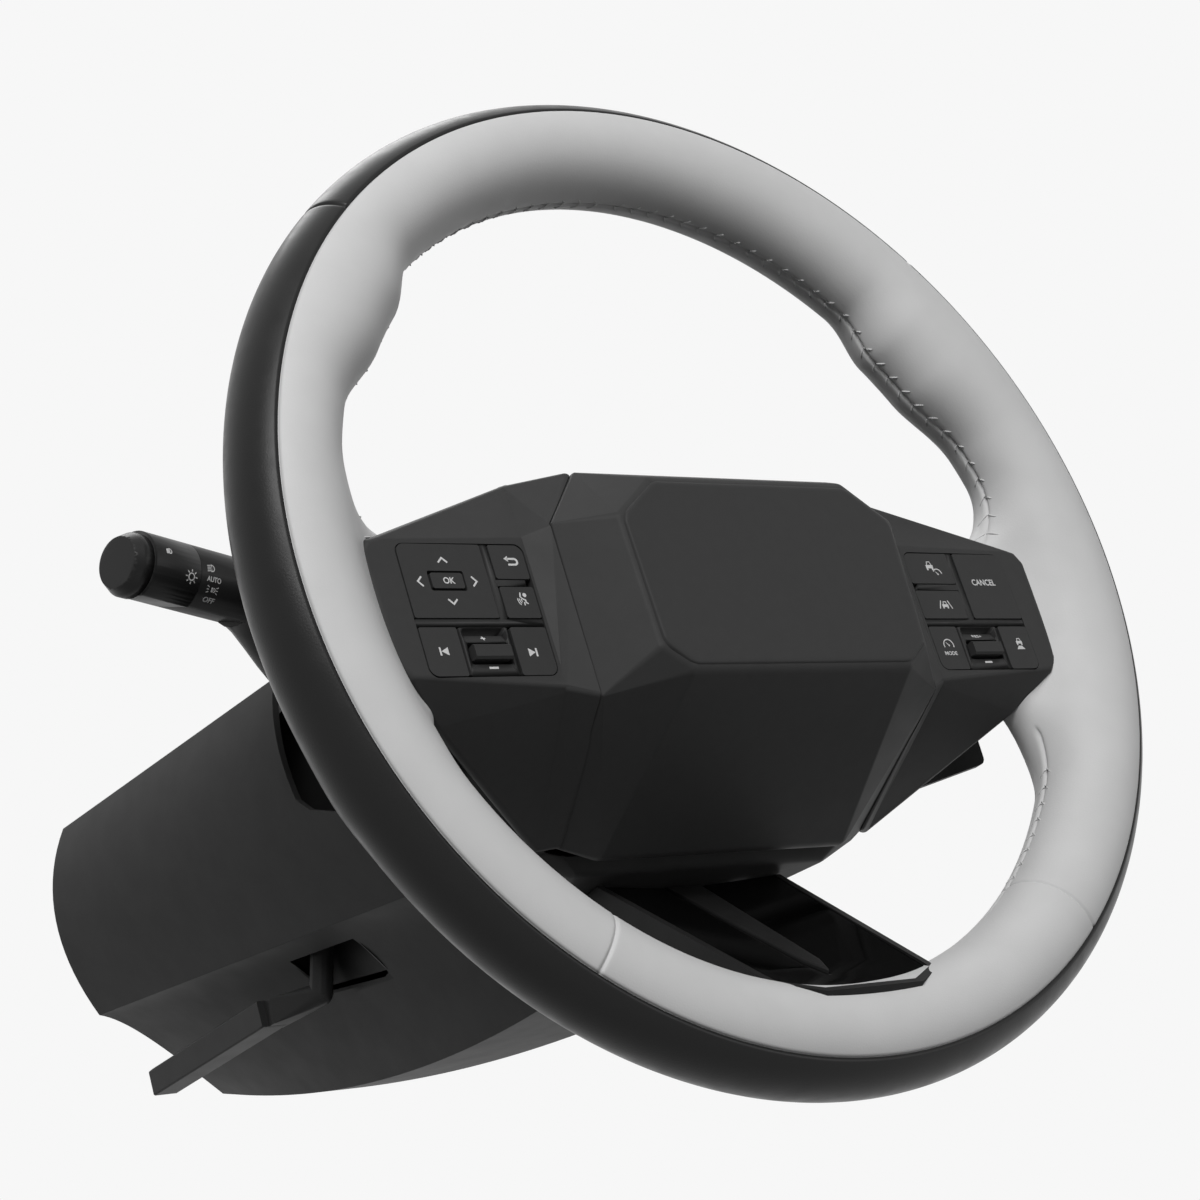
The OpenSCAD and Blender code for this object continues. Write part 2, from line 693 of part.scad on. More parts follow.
module upper_jacket() {
    color("silver") at_wheel() difference() {
        union() {
            cylinder_between(jacket_back, jacket_front, jacket_r);
            box_between([-boss_x, clamp_y - 11, ear_back], [boss_x, 4, ear_front]);
        }
        cylinder_between(jacket_back - 1, jacket_front + 1, jacket_bore / 2);
        box_between([-boss_x + 7, clamp_y - 12, ear_back - 1], [boss_x - 7, -jacket_r - 2, ear_front + 1]);
        cross_cylinder(-boss_x - 1, boss_x + 1, clamp_y, clamp_z, clamp_r + 0.1);
    }
}
module upper_bearing() {
    color("gainsboro") at_wheel() ring_between(jacket_front - 14, jacket_front - 2, jacket_bore / 2 - fit_gap,
        shaft_r + fit_gap);
}
lever_x = [-cheek_in - bracket_t - 10.3, -cheek_in - bracket_t - 0.3];
module clamp_bolt() {
    color("dimgray") at_wheel() {
        cross_cylinder(lever_x[0] - 1, cheek_in + bracket_t + 6, clamp_y, clamp_z, clamp_r);
        translate([lever_x[0] - 5.3, clamp_y, clamp_z]) rotate([0, 90, 0]) cylinder(h = 5, r = 7, $fn = 6);
        translate([cheek_in + bracket_t + 0.3, clamp_y, clamp_z]) rotate([0, 90, 0]) cylinder(h = 6.5, r = 7.2, $fn = 6);
    }
}
module tilt_lever() {
    neck = [-46, -66, -234];
    turn = [-54, -65.5, -256];
    color("#2c2c2e") at_wheel() difference() {
        union() {
            cross_cylinder(lever_x[0], lever_x[1], clamp_y, clamp_z, 9.5);
            hull() {
                translate([lever_x[0] + 5, clamp_y - 4, clamp_z - 2]) sphere(4.6, $fn = round_fn);
                translate(neck) sphere(4.6, $fn = round_fn);
            }
            hull() {
                translate(neck) sphere(4.6, $fn = round_fn);
                translate(turn) rotate([4, 0, 0]) cube([9, 10, 9], center = true);
            }
            hull() {
                for (z = [turn[2] - 3, -352]) translate([-56, -65.5 + (turn[2] - z) * 0.03, z]) rotate([-2, 0, 0])
                    rounded_plate(11, 10.6, 3, 0.8);
            }
        }
        cross_cylinder(lever_x[0] - 1, lever_x[1] + 1, clamp_y, clamp_z, clamp_r + fit_gap);
    }
}

// Mounting bracket: a level plate for the bolts and two cheeks down to the column
plate_half_x = bolt_x / 2 + 11;
plate_half_y = bolt_y / 2 + 10;
// The column's places in the bracket's own frame, as forward and up
function forward(y, z) = -wheel_ahead + y * sin(rake) - z * cos(rake);
function upward(y, z) = wheel_rise + y * cos(rake) + z * sin(rake);
function in_bracket(y, z) = [forward(y, z), upward(y, z)];
window_len = 2 * (reach_travel + clamp_r + 1.5);
window_h = 2 * (clamp_r + 7.5);
module cheek_outline() {
    hull() {
        translate([-plate_half_y + 1, -6]) square([2 * plate_half_y - 2, 6]);
        translate(in_bracket(0, pivot_z)) circle(13);
    }
    hull() {
        translate(in_bracket(0, pivot_z)) circle(13);
        translate(in_bracket(-18, -300)) circle(8);
    }
    hull() {
        translate(in_bracket(-12, -300)) circle(8);
        translate(in_bracket(clamp_y, clamp_z)) rotate(-rake) square([window_len + 14, window_h + 8], center = true);
    }
}
module mounting_bracket() {
    color("slategray") difference() {
        union() {
            translate([0, 0, -bracket_t]) rounded_plate(2 * plate_half_x, 2 * plate_half_y, bracket_t, 6);
            both_sides() translate([cheek_in, 0, 0]) rotate([90, 0, 90]) linear_extrude(bracket_t) difference() {
                cheek_outline();
                translate(in_bracket(clamp_y, clamp_z)) rotate(-rake) square([window_len, window_h], center = true);
                translate(in_bracket(0, pivot_z)) circle(pivot_r + 0.1);
            }
        }
        for (x = [-1, 1], y = [-1, 1]) translate([x * bolt_x / 2, y * bolt_y / 2, -10]) cylinder(h = 20, d = bolt_hole_d);
    }
}

// Housing of the stalk switches, clamped round the front of the sliding jacket
housing_back = -164;
housing_front = -112;
carrier = [44, 8];
plate_out = 61;
trunnion_r = 5;
module switch_housing() {
    color("#1f1f21") at_wheel() difference() {
        union() {
            box_between([-30, -27, housing_back], [30, 31, housing_front]);
            for (z = [[housing_back, housing_back + 6], [housing_front - 10, housing_front - 4]])
                box_between([-plate_out, -20, z[0]], [plate_out, 28, z[1]]);
        }
        cylinder_between(housing_back - 1, jacket_front + fit_gap, jacket_r + fit_gap);
        cylinder_between(jacket_front - 1, housing_front + 1, rotor_r + 1);
        both_sides() translate([carrier[0], carrier[1], housing_back - 1])
            cylinder(h = housing_front - housing_back + 2, r = trunnion_r + fit_gap);
        both_sides() translate([carrier[0], carrier[1], housing_back + 6]) cylinder(h = 36, r = 16.5);
    }
}
rotor_r = shaft_r + 4.5;
module clock_spring() {
    color("#1b1b1d") at_wheel() difference() {
        cylinder_between(housing_front, -92, 36);
        cylinder_between(housing_front - 1, -91, rotor_r + 0.4);
        ring_between(housing_front + 3, -95, 33, rotor_r + 4);
    }
}
module clock_spring_rotor() {
    color("#3a3a3c") at_wheel() {
        ring_between(housing_front + 2, hub_plate_z - 2, rotor_r, shaft_r + fit_gap);
        ring_between(-91.5, -88.5, rotor_r + 8, rotor_r - 1);
    }
}

// Stalks. A carrier turns between the housing's plates for up and down, and the
// stalk turns on a pin in the carrier for push and pull. The knob turns on the stalk.
flash_x = 55;
flash_z = -140;
flash_r = 2.5;
module stalk_carrier(side) {
    color("#46464a") at_wheel() on_side(side) difference() {
        union() {
            translate([carrier[0], carrier[1], 0]) {
                cylinder_between(housing_back + 1, housing_front - 5, trunnion_r);
                cylinder_between(housing_back + 6.3, housing_front - 10.3, 9);
            }
            for (y = [carrier[1] - 10, carrier[1] + 6])
                box_between([carrier[0], y, flash_z - 5], [flash_x + 5, y + 4, flash_z + 5]);
        }
        translate([flash_x, carrier[1], flash_z]) rotate([90, 0, 0]) cylinder(h = 12, r = 7.5, center = true);
    }
    color("silver") at_wheel() on_side(side) translate([flash_x, carrier[1], flash_z]) rotate([90, 0, 0])
        cylinder(h = 16, r = flash_r, center = true);
}
stalk_r = stalk_d / 2;
knob_at = [132, 47.2, -110];
stalk_rise = 5.2;
sleeve_len = 22;
// Where the knob meets the sleeve
knob_from = 12.9;
spindle_r = 5;
module at_stalk() translate(knob_at) rotate([0, 90 - stalk_lean, stalk_rise]) children();
// Round section with a flat underside
module stalk_section(r) {
    difference() {
        circle(r);
        rotate(24) translate([-2 * r, -2 * r - 0.8 * r]) square([4 * r, 2 * r]);
    }
}
// The arm from the fork to the sleeve is swept along a curve, getting thicker
arm_line = [[52, 8, -140], [92, 8, -141], [104.2, 44.6, -117.7], [119, 46, -113.6]];
arm_steps = 9;
arm_root_r = 6.2;
arm_sides = 20;
function cubic(p, t) = pow(1 - t, 3) * p[0] + 3 * t * pow(1 - t, 2) * p[1]
    + 3 * t * t * (1 - t) * p[2] + pow(t, 3) * p[3];
function along(p, t) = pow(1 - t, 2) * (p[1] - p[0]) + 2 * t * (1 - t) * (p[2] - p[1])
    + t * t * (p[3] - p[2]);
function unit(v) = v / norm(v);
function ring_round(centre, way, r) = let (a = unit(cross(way, [0, 0, 1])), b = unit(cross(a, way)))
    [for (i = [0 : arm_sides - 1]) let (t = 360 * i / arm_sides) centre + r * cos(t) * a + r * sin(t) * b];
module stalk_arm() {
    loft([for (i = [0 : arm_steps]) let (t = i / arm_steps)
        ring_round(cubic(arm_line, t), along(arm_line, t), arm_root_r + (stalk_r - 0.5 - arm_root_r) * t)]);
}
module stalk(side) {
    color("#242426") at_wheel() on_side(side) {
        difference() {
            stalk_arm();
            translate([flash_x, 0, flash_z]) rotate([90, 0, 0]) cylinder(h = 60, r = flash_r + fit_gap, center = true);
            for (y = [-20, carrier[1] + 5.7])
                box_between([40, y, flash_z - 20], [flash_x + 9, y + 22.3, flash_z + 20]);
        }
        at_stalk() translate([0, 0, -sleeve_len]) linear_extrude(sleeve_len + knob_from) stalk_section(stalk_r);
        at_stalk() cylinder_between(knob_from - 2, knob_len - 4, spindle_r);
    }
}
module stalk_knob(side) {
    color("#2a2a2c") at_wheel() on_side(side) at_stalk() difference() {
        translate([0, 0, knob_from + clear]) linear_extrude(knob_len - knob_from - clear) stalk_section(stalk_r);
        cylinder_between(knob_from - 1, knob_len - 3, spindle_r + fit_gap);
        cylinder_between(knob_len - 4 + eps, knob_len + 1, 8);
    }
}
module stalk_cap(side) {
    color("#333336") at_wheel() on_side(side) at_stalk() {
        cylinder_between(knob_len - 3.6, knob_len + eps, 7.9);
        rotate_extrude() polygon([[0, knob_len], [stalk_r - 1.2, knob_len], [stalk_r - 1.2, knob_len + 3],
            [stalk_r - 3.4, knob_len + 7], [0, knob_len + 7]]);
    }
}

// Shroud: its outline at a distance z behind the rim, w millimetres inside its face
shroud_half = shroud_w / 2;
function shoulder(z) = 30 + 0.0745 * (-80 - z);
function crease(z) = -70 + 0.157 * (-80 - z);
function crease_x(z) = shroud_half - 17;
function keel(z) = -112 + 0.00056 * pow(-90 - z, 2);
function keel_x(z) = max(1.5, 2 + 0.1 * (z + 390));
side_steps = 5;
function upper_half(z, w) = let (
    s = [shroud_half - w, shoulder(z) - 0.5 * w],
    c = [crease_x(z) - 0.9 * w, crease(z)],
    mid = [shroud_half + 15 - w, (shoulder(z) + crease(z)) / 2 + 4],
    top = [0, shoulder(z) + 12 - w],
    crown = [50, shoulder(z) + 12 - w])
    concat(
        [for (i = [0 : side_steps]) bend(c, mid, s, i / side_steps)],
        [for (i = [1 : side_steps - 1]) bend(s, crown, top, i / side_steps)]);
function lower_half(z, w) = let (
    c = [crease_x(z) - 0.9 * w, crease(z)],
    mid = [shroud_half - 36 - 0.5 * w, crease(z) - 4 + 0.7 * w],
    k = [keel_x(z) - 0.3 * w, keel(z) + w])
    [for (i = [0 : side_steps]) bend(k, mid, c, i / side_steps)];
function flipped(pts) = [for (i = [len(pts) - 1 : -1 : 0]) [-pts[i][0], pts[i][1]]];
function at_z(pts, z) = [for (p = pts) [p[0], p[1], z]];
function reversed(pts) = [for (i = [len(pts) - 1 : -1 : 0]) pts[i]];
function upper_ring(z) = let (
    out = upper_half(z, 0), in = upper_half(z, shroud_wall),
    top = [0, shoulder(z) + 12], top_in = [0, shoulder(z) + 12 - shroud_wall])
    at_z(reversed(concat(out, [top], flipped(out), reversed(concat(in, [top_in], flipped(in))))), z);
function lower_ring(z) = let (out = lower_half(z, 0), in = lower_half(z, shroud_wall))
    at_z(concat(flipped(out), out, reversed(concat(flipped(in), in))), z);
shroud_steps = 12;
shroud_end = -415;
function stations() = [for (i = [0 : shroud_steps]) -shroud_front + (shroud_end + shroud_front) * i / shroud_steps];
// The shroud ends on an upright plane where it meets the dashboard
module dashboard_side() translate([-150, -dash_gap, -300]) cube([300, 300, 600]);
dash_gap = 36;
module upper_shroud() {
    color("#3a3a3c") difference() {
        at_wheel() difference() {
            loft([for (z = stations()) upper_ring(z)], band = true);
            for (x = [-110, 55]) translate([x, 0, 0]) rotate([0, -90, 0]) mirror([0, 0, 1]) linear_extrude(55)
                stalk_window();
        }
        dashboard_side();
    }
}
// Opening in each side for a stalk, as distance along the column and height. Its top clears a raised stalk
window_top = 35.6;
module stalk_window() {
    polygon([[-163.5, window_top], [-166, window_top - 3], [-166, -12], [-161, -18], [-146, -25], [-102, -29],
        [-102, window_top]]);
}
post_x = 18;
module lower_shroud() {
    color("#2b2b2d") difference() {
        at_wheel() {
            difference() {
                loft([for (z = stations()) lower_ring(z)], band = true);
                box_between([-51, -82, -264], [-37.5, -48, -196]);
            }
            for (z = [-154, -124]) both_sides() difference() {
                translate([post_x, keel(z) + 1, z]) rotate([-90, 0, 0]) cylinder(h = -27.1 - keel(z) - 1, r = 4);
                translate([post_x, keel(z) + 8, z]) rotate([-90, 0, 0]) cylinder(h = 120, r = 1.8);
            }
        }
        dashboard_side();
    }
}

mounting_bracket();
pivot_bolts();
outer_jacket();
lower_bearing();
lower_shaft();
upper_jacket();
upper_bearing();
clamp_bolt();
tilt_lever();
switch_housing();
clock_spring();
upper_shroud();
lower_shroud();
stalk_carrier(-1);  // left_stalk_carrier
stalk(-1);  // left_stalk
stalk_knob(-1);  // light_knob
stalk_cap(-1);  // left_stalk_cap
stalk_carrier(1);  // right_stalk_carrier
stalk(1);  // right_stalk
stalk_knob(1);  // wiper_knob
stalk_cap(1);  // right_stalk_cap
steering_shaft();
hub_nut();
clock_spring_rotor();
rim_armature();
rim_foam();
upper_light_leather();
lower_light_leather();
upper_dark_leather();
lower_dark_leather();
hub_rear_cover();
bezel(-1);  // left_bezel
bezel(1);  // right_bezel
switch_base(-1);  // left_switch_base
switch_base(1);  // right_switch_base
spoke_tray();
spoke_panels();
spoke_fin();
paddle(-1);  // left_paddle
paddle(1);  // right_paddle
airbag_cover();
airbag_housing();
airbag_inflator();
nav_gimbal();
nav_pad();
color("#38383a") at_wheel() key(-1, ok_cell, -key_depth, 0.2);  // ok_key
color("#38383a") at_wheel() corner_key(-1, back_cell);  // back_key
color("#38383a") at_wheel() corner_key(-1, voice_cell);  // voice_key
color("#38383a") at_wheel() corner_key(-1, previous_cell);  // previous_key
toggle(-1, volume_cell);  // volume_toggle
color("#38383a") at_wheel() corner_key(-1, next_cell);  // next_key
color("#38383a") at_wheel() corner_key(1, cruise_cell);  // cruise_key
color("#38383a") at_wheel() corner_key(1, lane_cell);  // lane_key
color("#38383a") at_wheel() corner_key(1, cancel_cell);  // cancel_key
color("#38383a") at_wheel() corner_key(1, mode_cell);  // mode_key
toggle(1, speed_cell);  // speed_toggle
color("#38383a") at_wheel() corner_key(1, distance_cell);  // distance_key
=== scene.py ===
import json
from math import cos, pi, radians, sin, sqrt, tan

import bmesh
import bpy
import numpy as np
from mathutils import Matrix, Vector

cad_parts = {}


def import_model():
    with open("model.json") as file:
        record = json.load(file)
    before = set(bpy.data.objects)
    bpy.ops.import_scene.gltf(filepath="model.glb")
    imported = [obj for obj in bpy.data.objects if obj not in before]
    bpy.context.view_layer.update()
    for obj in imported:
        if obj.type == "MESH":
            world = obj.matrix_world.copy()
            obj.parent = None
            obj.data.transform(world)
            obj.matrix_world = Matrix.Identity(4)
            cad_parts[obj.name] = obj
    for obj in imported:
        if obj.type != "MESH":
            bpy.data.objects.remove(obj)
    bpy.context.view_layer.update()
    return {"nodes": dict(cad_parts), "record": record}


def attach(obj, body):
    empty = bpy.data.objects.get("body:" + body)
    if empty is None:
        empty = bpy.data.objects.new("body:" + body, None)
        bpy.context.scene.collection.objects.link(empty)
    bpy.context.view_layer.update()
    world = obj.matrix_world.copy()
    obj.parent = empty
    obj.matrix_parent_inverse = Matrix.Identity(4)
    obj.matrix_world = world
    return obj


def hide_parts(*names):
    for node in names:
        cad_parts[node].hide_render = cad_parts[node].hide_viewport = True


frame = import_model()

NODES = frame["nodes"]
SLOT_OF = {s["node"]: s["material_slot"] for s in frame["record"]["subparts"]}

# ---------------------------------------------------------------- frames, in mm
# The wheel's frame has X to the driver's right, Y up in the wheel's plane and Z towards the driver
WHEEL_AHEAD, WHEEL_RISE, RAKE = 376, 118, 25
WHEEL = (
    Matrix.Scale(0.001, 4)
    @ Matrix.Translation((0, -WHEEL_AHEAD, WHEEL_RISE))
    @ Matrix.Rotation(radians(90 - RAKE), 4, "X")
)
ROW = Matrix.Scale(0.001, 4)
# Where a stalk's knob meets its sleeve, in mm, and how far the two rise and lean, in degrees
KNOB_AT, STALK_RISE, STALK_LEAN = (132, 47.2, -110), 5.2, 15.5
# The middle of the keys' face on the right bezel, in mm, and how far it leans, in degrees
PAD_AT, PAD_TILT = (107.9, -16.1, 5.8), -2.5


def mirrored(side):
    return Matrix.Scale(side, 4, (1, 0, 0))


def pad_frame(side):
    """The keys' face on one bezel."""
    x, y, z = PAD_AT
    return WHEEL @ Matrix.Translation((side * x, y, z)) @ Matrix.Rotation(radians(PAD_TILT), 4, "X")


def stalk_frame(side):
    """Along a stalk's sleeve and knob, which is its Z."""
    rise = Matrix.Rotation(radians(STALK_RISE), 4, "Z")
    turn = rise @ Matrix.Rotation(radians(90 - STALK_LEAN), 4, "Y")
    return WHEEL @ mirrored(side) @ Matrix.Translation(KNOB_AT) @ turn


# ---------------------------------------------------------------- materials
class Shader:
    """A procedural material: a Principled shader with a few helpers to feed it."""

    def __init__(self, name, rough, specular=0.5, metal=0.0, coat=0.0):
        self.material = bpy.data.materials.new(name)
        self.material.use_nodes = True
        self.tree = self.material.node_tree
        self.out = self.tree.nodes["Principled BSDF"]
        self.out.inputs["Roughness"].default_value = rough
        self.out.inputs["Specular IOR Level"].default_value = specular
        self.out.inputs["Metallic"].default_value = metal
        self.out.inputs["Coat Weight"].default_value = coat
        self.place = self.add("ShaderNodeTexCoord").outputs["Object"]

    def add(self, kind, **values):
        node = self.tree.nodes.new(kind)
        for name, value in values.items():
            setattr(node, name, value)
        return node

    def link(self, a, b):
        self.tree.links.new(a, b)

    def noise(self, size, detail=3.0):
        """Noise whose blotches are about size metres across."""
        node = self.add("ShaderNodeTexNoise")
        node.inputs["Scale"].default_value = 1 / size
        node.inputs["Detail"].default_value = detail
        self.link(self.place, node.inputs["Vector"])
        return node.outputs["Fac"]

    def cells(self, size):
        """Leather-like cells: 0 at their borders, rising towards their middles."""
        node = self.add("ShaderNodeTexVoronoi", feature="DISTANCE_TO_EDGE")
        node.inputs["Scale"].default_value = 1 / size
        self.link(self.place, node.inputs["Vector"])
        return node.outputs["Distance"]

    def spread(self, value, low, high):
        """The value's 0.3 to 0.7 drawn out over low to high."""
        node = self.add("ShaderNodeMapRange")
        node.inputs["From Min"].default_value = 0.3
        node.inputs["From Max"].default_value = 0.7
        node.inputs["To Min"].default_value = low
        node.inputs["To Max"].default_value = high
        self.link(value, node.inputs["Value"])
        return node.outputs["Result"]

    def colour(self, grey, share, size, warm=(1, 1, 1)):
        """A grey that wanders by a share of itself over blotches of that size."""
        node = self.add("ShaderNodeMix", data_type="RGBA")
        low, high = (tuple(grey * k * w for w in warm) + (1,) for k in (1 - share, 1 + share))
        node.inputs["A"].default_value = low
        node.inputs["B"].default_value = high
        self.link(self.spread(self.noise(size), 0, 1), node.inputs["Factor"])
        self.link(node.outputs["Result"], self.out.inputs["Base Color"])

    def roughness(self, low, high, size):
        self.link(self.spread(self.noise(size), low, high), self.out.inputs["Roughness"])

    def bump(self, height, depth, strength=1.0):
        """Relief of that depth, in metres."""
        node = self.add("ShaderNodeBump")
        node.inputs["Distance"].default_value = depth
        node.inputs["Strength"].default_value = strength
        self.link(height, node.inputs["Height"])
        normal = self.out.inputs["Normal"]
        if normal.is_linked:
            self.link(normal.links[0].from_socket, node.inputs["Normal"])
        self.link(node.outputs["Normal"], normal)


def plastic(name, grey, rough, specular, grain):
    """Moulded plastic with a fine spark-eroded grain."""
    s = Shader(name, rough, specular)
    s.colour(grey, 0.03, 0.004)
    s.roughness(rough - 0.02, rough + 0.03, 0.012)
    s.bump(s.noise(0.0006, 2), grain)
    return s.material


def gloss(name, grey):
    s = Shader(name, 0.07, 0.5, coat=0.4)
    s.colour(grey, 0.1, 0.05)
    s.roughness(0.05, 0.1, 0.02)
    s.bump(s.noise(0.03, 1), 0.00002)
    return s.material


def satin(name, grey):
    """Dark paint with a low sheen."""
    s = Shader(name, 0.5, 0.12)
    s.colour(grey, 0.04, 0.01)
    s.roughness(0.45, 0.55, 0.01)
    s.bump(s.noise(0.0005, 2), 0.000004)
    return s.material


def leather(name, grey, rough, specular):
    """Smooth leather with shallow pores and slight unevenness under the hand."""
    s = Shader(name, rough, specular)
    s.colour(grey, 0.025, 0.02)
    s.roughness(rough - 0.05, rough + 0.05, 0.008)
    s.bump(s.cells(0.0011), 0.00003)
    s.bump(s.noise(0.00035, 2), 0.000012)
    s.bump(s.noise(0.03, 2), 0.00003)
    return s.material


def metal(name, grey, rough, grain=0.00001, warm=(1, 1, 1)):
    s = Shader(name, rough, 0.5, metal=1.0)
    s.colour(grey, 0.08, 0.01, warm)
    s.roughness(rough - 0.06, rough + 0.08, 0.004)
    s.bump(s.noise(0.0008, 3), grain)
    return s.material


FINISH = {
    "bracket_steel": metal("bracket_steel", 0.32, 0.42),
    "bolt_steel": metal("bolt_steel", 0.42, 0.32),
    "bearing_steel": metal("bearing_steel", 0.5, 0.25),
    "shaft_steel": metal("shaft_steel", 0.45, 0.3),
    "jacket_aluminium": metal("jacket_aluminium", 0.55, 0.38, 0.00003),
    "black_plastic": plastic("black_plastic", 0.03, 0.45, 0.12, 0.000012),
    "trim_plastic": plastic("trim_plastic", 0.036, 0.5, 0.12, 0.000012),
    "stalk_plastic": plastic("stalk_plastic", 0.018, 0.36, 0.16, 0.000006),
    "key_plastic": plastic("key_plastic", 0.034, 0.48, 0.12, 0.000006),
    "gloss_black": gloss("gloss_black", 0.002),
    "satin_metal": satin("satin_metal", 0.014),
    "cast_magnesium": metal("cast_magnesium", 0.4, 0.5, 0.00006),
    "foam": plastic("foam", 0.05, 0.9, 0.1, 0.00005),
    "light_leather": leather("light_leather", 0.62, 0.5, 0.25),
    "dark_leather": leather("dark_leather", 0.01, 0.34, 0.2),
}
PRINT = plastic("key_print", 0.62, 0.6, 0.2, 0.000005)


# ---------------------------------------------------------------- meshes
def add_mesh(name, verts, faces, to, materials, body, smooth=None, index=None):
    """A mesh object in the row's frame, shaded smooth up to the angle smooth, in degrees."""
    mesh = bpy.data.meshes.new(name)
    mesh.from_pydata([to @ Vector(v) for v in verts], [], faces)
    if to.determinant() < 0:
        mesh.flip_normals()
    mesh.validate()
    for m in materials if isinstance(materials, (list, tuple)) else [materials]:
        mesh.materials.append(m)
    if index is not None:
        mesh.polygons.foreach_set("material_index", index)
    piece = bpy.data.objects.new(name, mesh)
    bpy.context.scene.collection.objects.link(piece)
    if smooth:
        shade(mesh, smooth)
    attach(piece, body)
    return piece


def shade(mesh, angle):
    mesh.shade_smooth()
    if angle < 180:
        mesh.set_sharp_from_angle(angle=radians(angle))


def weighted(piece):
    m = piece.modifiers.new("normals", "WEIGHTED_NORMAL")
    m.keep_sharp = True
    m.weight = 80
    return m


def unpacked(bm):
    """The verts and faces of a bmesh, which is freed."""
    verts = [tuple(v.co) for v in bm.verts]
    bm.verts.index_update()
    faces = [[v.index for v in f.verts] for f in bm.faces]
    bm.free()
    return verts, faces


def from_bmesh(name, bm, to, materials, body, smooth):
    return add_mesh(name, *unpacked(bm), to, materials, body, smooth)


def wrapped(centres, r, both_sides=False, finish=4, grow=0):
    """The skin round spheres of radius r, or of a centre's own fourth value, grown by grow."""
    ball = bmesh.new()
    bmesh.ops.create_icosphere(ball, subdivisions=finish, radius=1)
    knobs = [v.co.copy() for v in ball.verts]
    ball.free()
    bm = bmesh.new()
    for x, y, z, *own in centres:
        r_here = (own[0] if own else r) + grow
        for side in (1, -1) if both_sides else (1,):
            for k in knobs:
                bm.verts.new((side * x + r_here * k.x, y + r_here * k.y, z + r_here * k.z))
    hull = bmesh.ops.convex_hull(bm, input=bm.verts)
    inner = set(hull["geom_interior"] + hull["geom_unused"])
    loose = [g for g in inner if isinstance(g, bmesh.types.BMVert)]
    bmesh.ops.delete(bm, geom=loose, context="VERTS")
    bmesh.ops.dissolve_limit(bm, angle_limit=radians(0.4), verts=bm.verts, edges=bm.edges)
    return bm


# ---------------------------------------------------------------- rim leather
RING_R, GRIP_R = 166.5, 18.5
INNER_R = RING_R - GRIP_R
# Where the light leather starts round the grip, and half the span of the panels between the joins, in degrees
FRONT_SEAM = 58
LOWER_PANEL, UPPER_PANEL = 37, 45
# How far a thumb rest stands in, and its middle and its reach to each side round the grip, in degrees
THUMB_RISE, THUMB_MIDDLE, THUMB_REACH = 6.8, 186, 112
# Where each thumb rest starts, is full, is full to and ends, in degrees up from the wheel's side
THUMB_SPAN = (21, 33, 40, 48.5)
# The padded spoke: its outline, radius, depth and slope, and how widely it flows into the grip
SPOKE_PAD = [(150, 19), (146, -66), (129, -42), (125, 7)]
SPOKE_PAD_R, SPOKE_PAD_DEPTH, SPOKE_PAD_BLEND = 6.5, 12, 22
# Where the laced seam lies round the grip and runs round the wheel, in degrees
LACED = 186
LACED_UPPER, LACED_LOWER = (5, 175), ((290, 335), (205, 250))
LIGHT_JOINS = (270 - LOWER_PANEL, 270 + LOWER_PANEL)
DARK_JOINS = (90 - UPPER_PANEL, 90 + UPPER_PANEL)
SEAM_STEPS = (0, 0.22, 0.5, 0.9, 1.5, 2.4)
# Width and depth of the grooves along the colour seams, at the joins and along the laced seam
SEAM_GROOVE, JOIN_GROOVE, LACED_GROOVE = (0.5, 0.8), (0.6, 0.8), (0.75, 1.3)


def blended(a, b, reach):
    """The smaller of two distances, rounded where they are closer than reach."""
    h = np.maximum(reach - np.abs(a - b), 0) / reach
    return np.minimum(a, b) - h * h * reach / 4


def off_polygon(x, y, corners):
    """Signed distance in a plane to a convex polygon."""
    inside = np.full_like(x, -1e9)
    near = np.full_like(x, 1e9)
    n = len(corners)
    mid = np.mean(corners, axis=0)
    for i in range(n):
        (ax, ay), (bx, by) = corners[i], corners[(i + 1) % n]
        ex, ey = bx - ax, by - ay
        length = sqrt(ex * ex + ey * ey)
        nx, ny = ey / length, -ex / length
        if (mid[0] - ax) * nx + (mid[1] - ay) * ny > 0:
            nx, ny = -nx, -ny
        inside = np.maximum(inside, (x - ax) * nx + (y - ay) * ny)
        t = np.clip(((x - ax) * ex + (y - ay) * ey) / length**2, 0, 1)
        near = np.minimum(near, np.hypot(x - ax - t * ex, y - ay - t * ey))
    return np.where(inside > 0, near, inside)


def rim_field(x, y, z):
    """Distance to the leather's outside without thumb rests: the grip and the side spokes' pads."""
    grip = np.hypot(np.hypot(x, y) - RING_R, z) - GRIP_R
    x = np.abs(x)
    flat = off_polygon(x, y, SPOKE_PAD)
    low = z + SPOKE_PAD_DEPTH - (x - 114) * 4 / 33
    pad = np.hypot(np.maximum(flat, 0), low) - SPOKE_PAD_R
    return blended(grip, pad, SPOKE_PAD_BLEND)


def eased(value, low, high):
    k = np.clip((value - low) / (high - low), 0, 1)
    return k * k * (3 - 2 * k)


def thumb_rest(a, t):
    """How far the leather stands in at the thumb rests."""
    a = np.where(a > 90, 180 - a, a)
    start, full, full_to, end = THUMB_SPAN
    along = eased(a, start, full) * (1 - eased(a, full_to, end))
    across = np.clip(np.radians(t - THUMB_MIDDLE) * 90 / THUMB_REACH, -pi / 2, pi / 2)
    return THUMB_RISE * along * np.cos(across) ** 2


def ring_point(a, t, reach):
    """Points reach from the grip's centre line, at angle a round the wheel and t round the grip."""
    a, t = np.radians(a), np.radians(t)
    out = RING_R + reach * np.cos(t)
    return np.stack([out * np.cos(a), out * np.sin(a), reach * np.sin(t)], axis=-1)


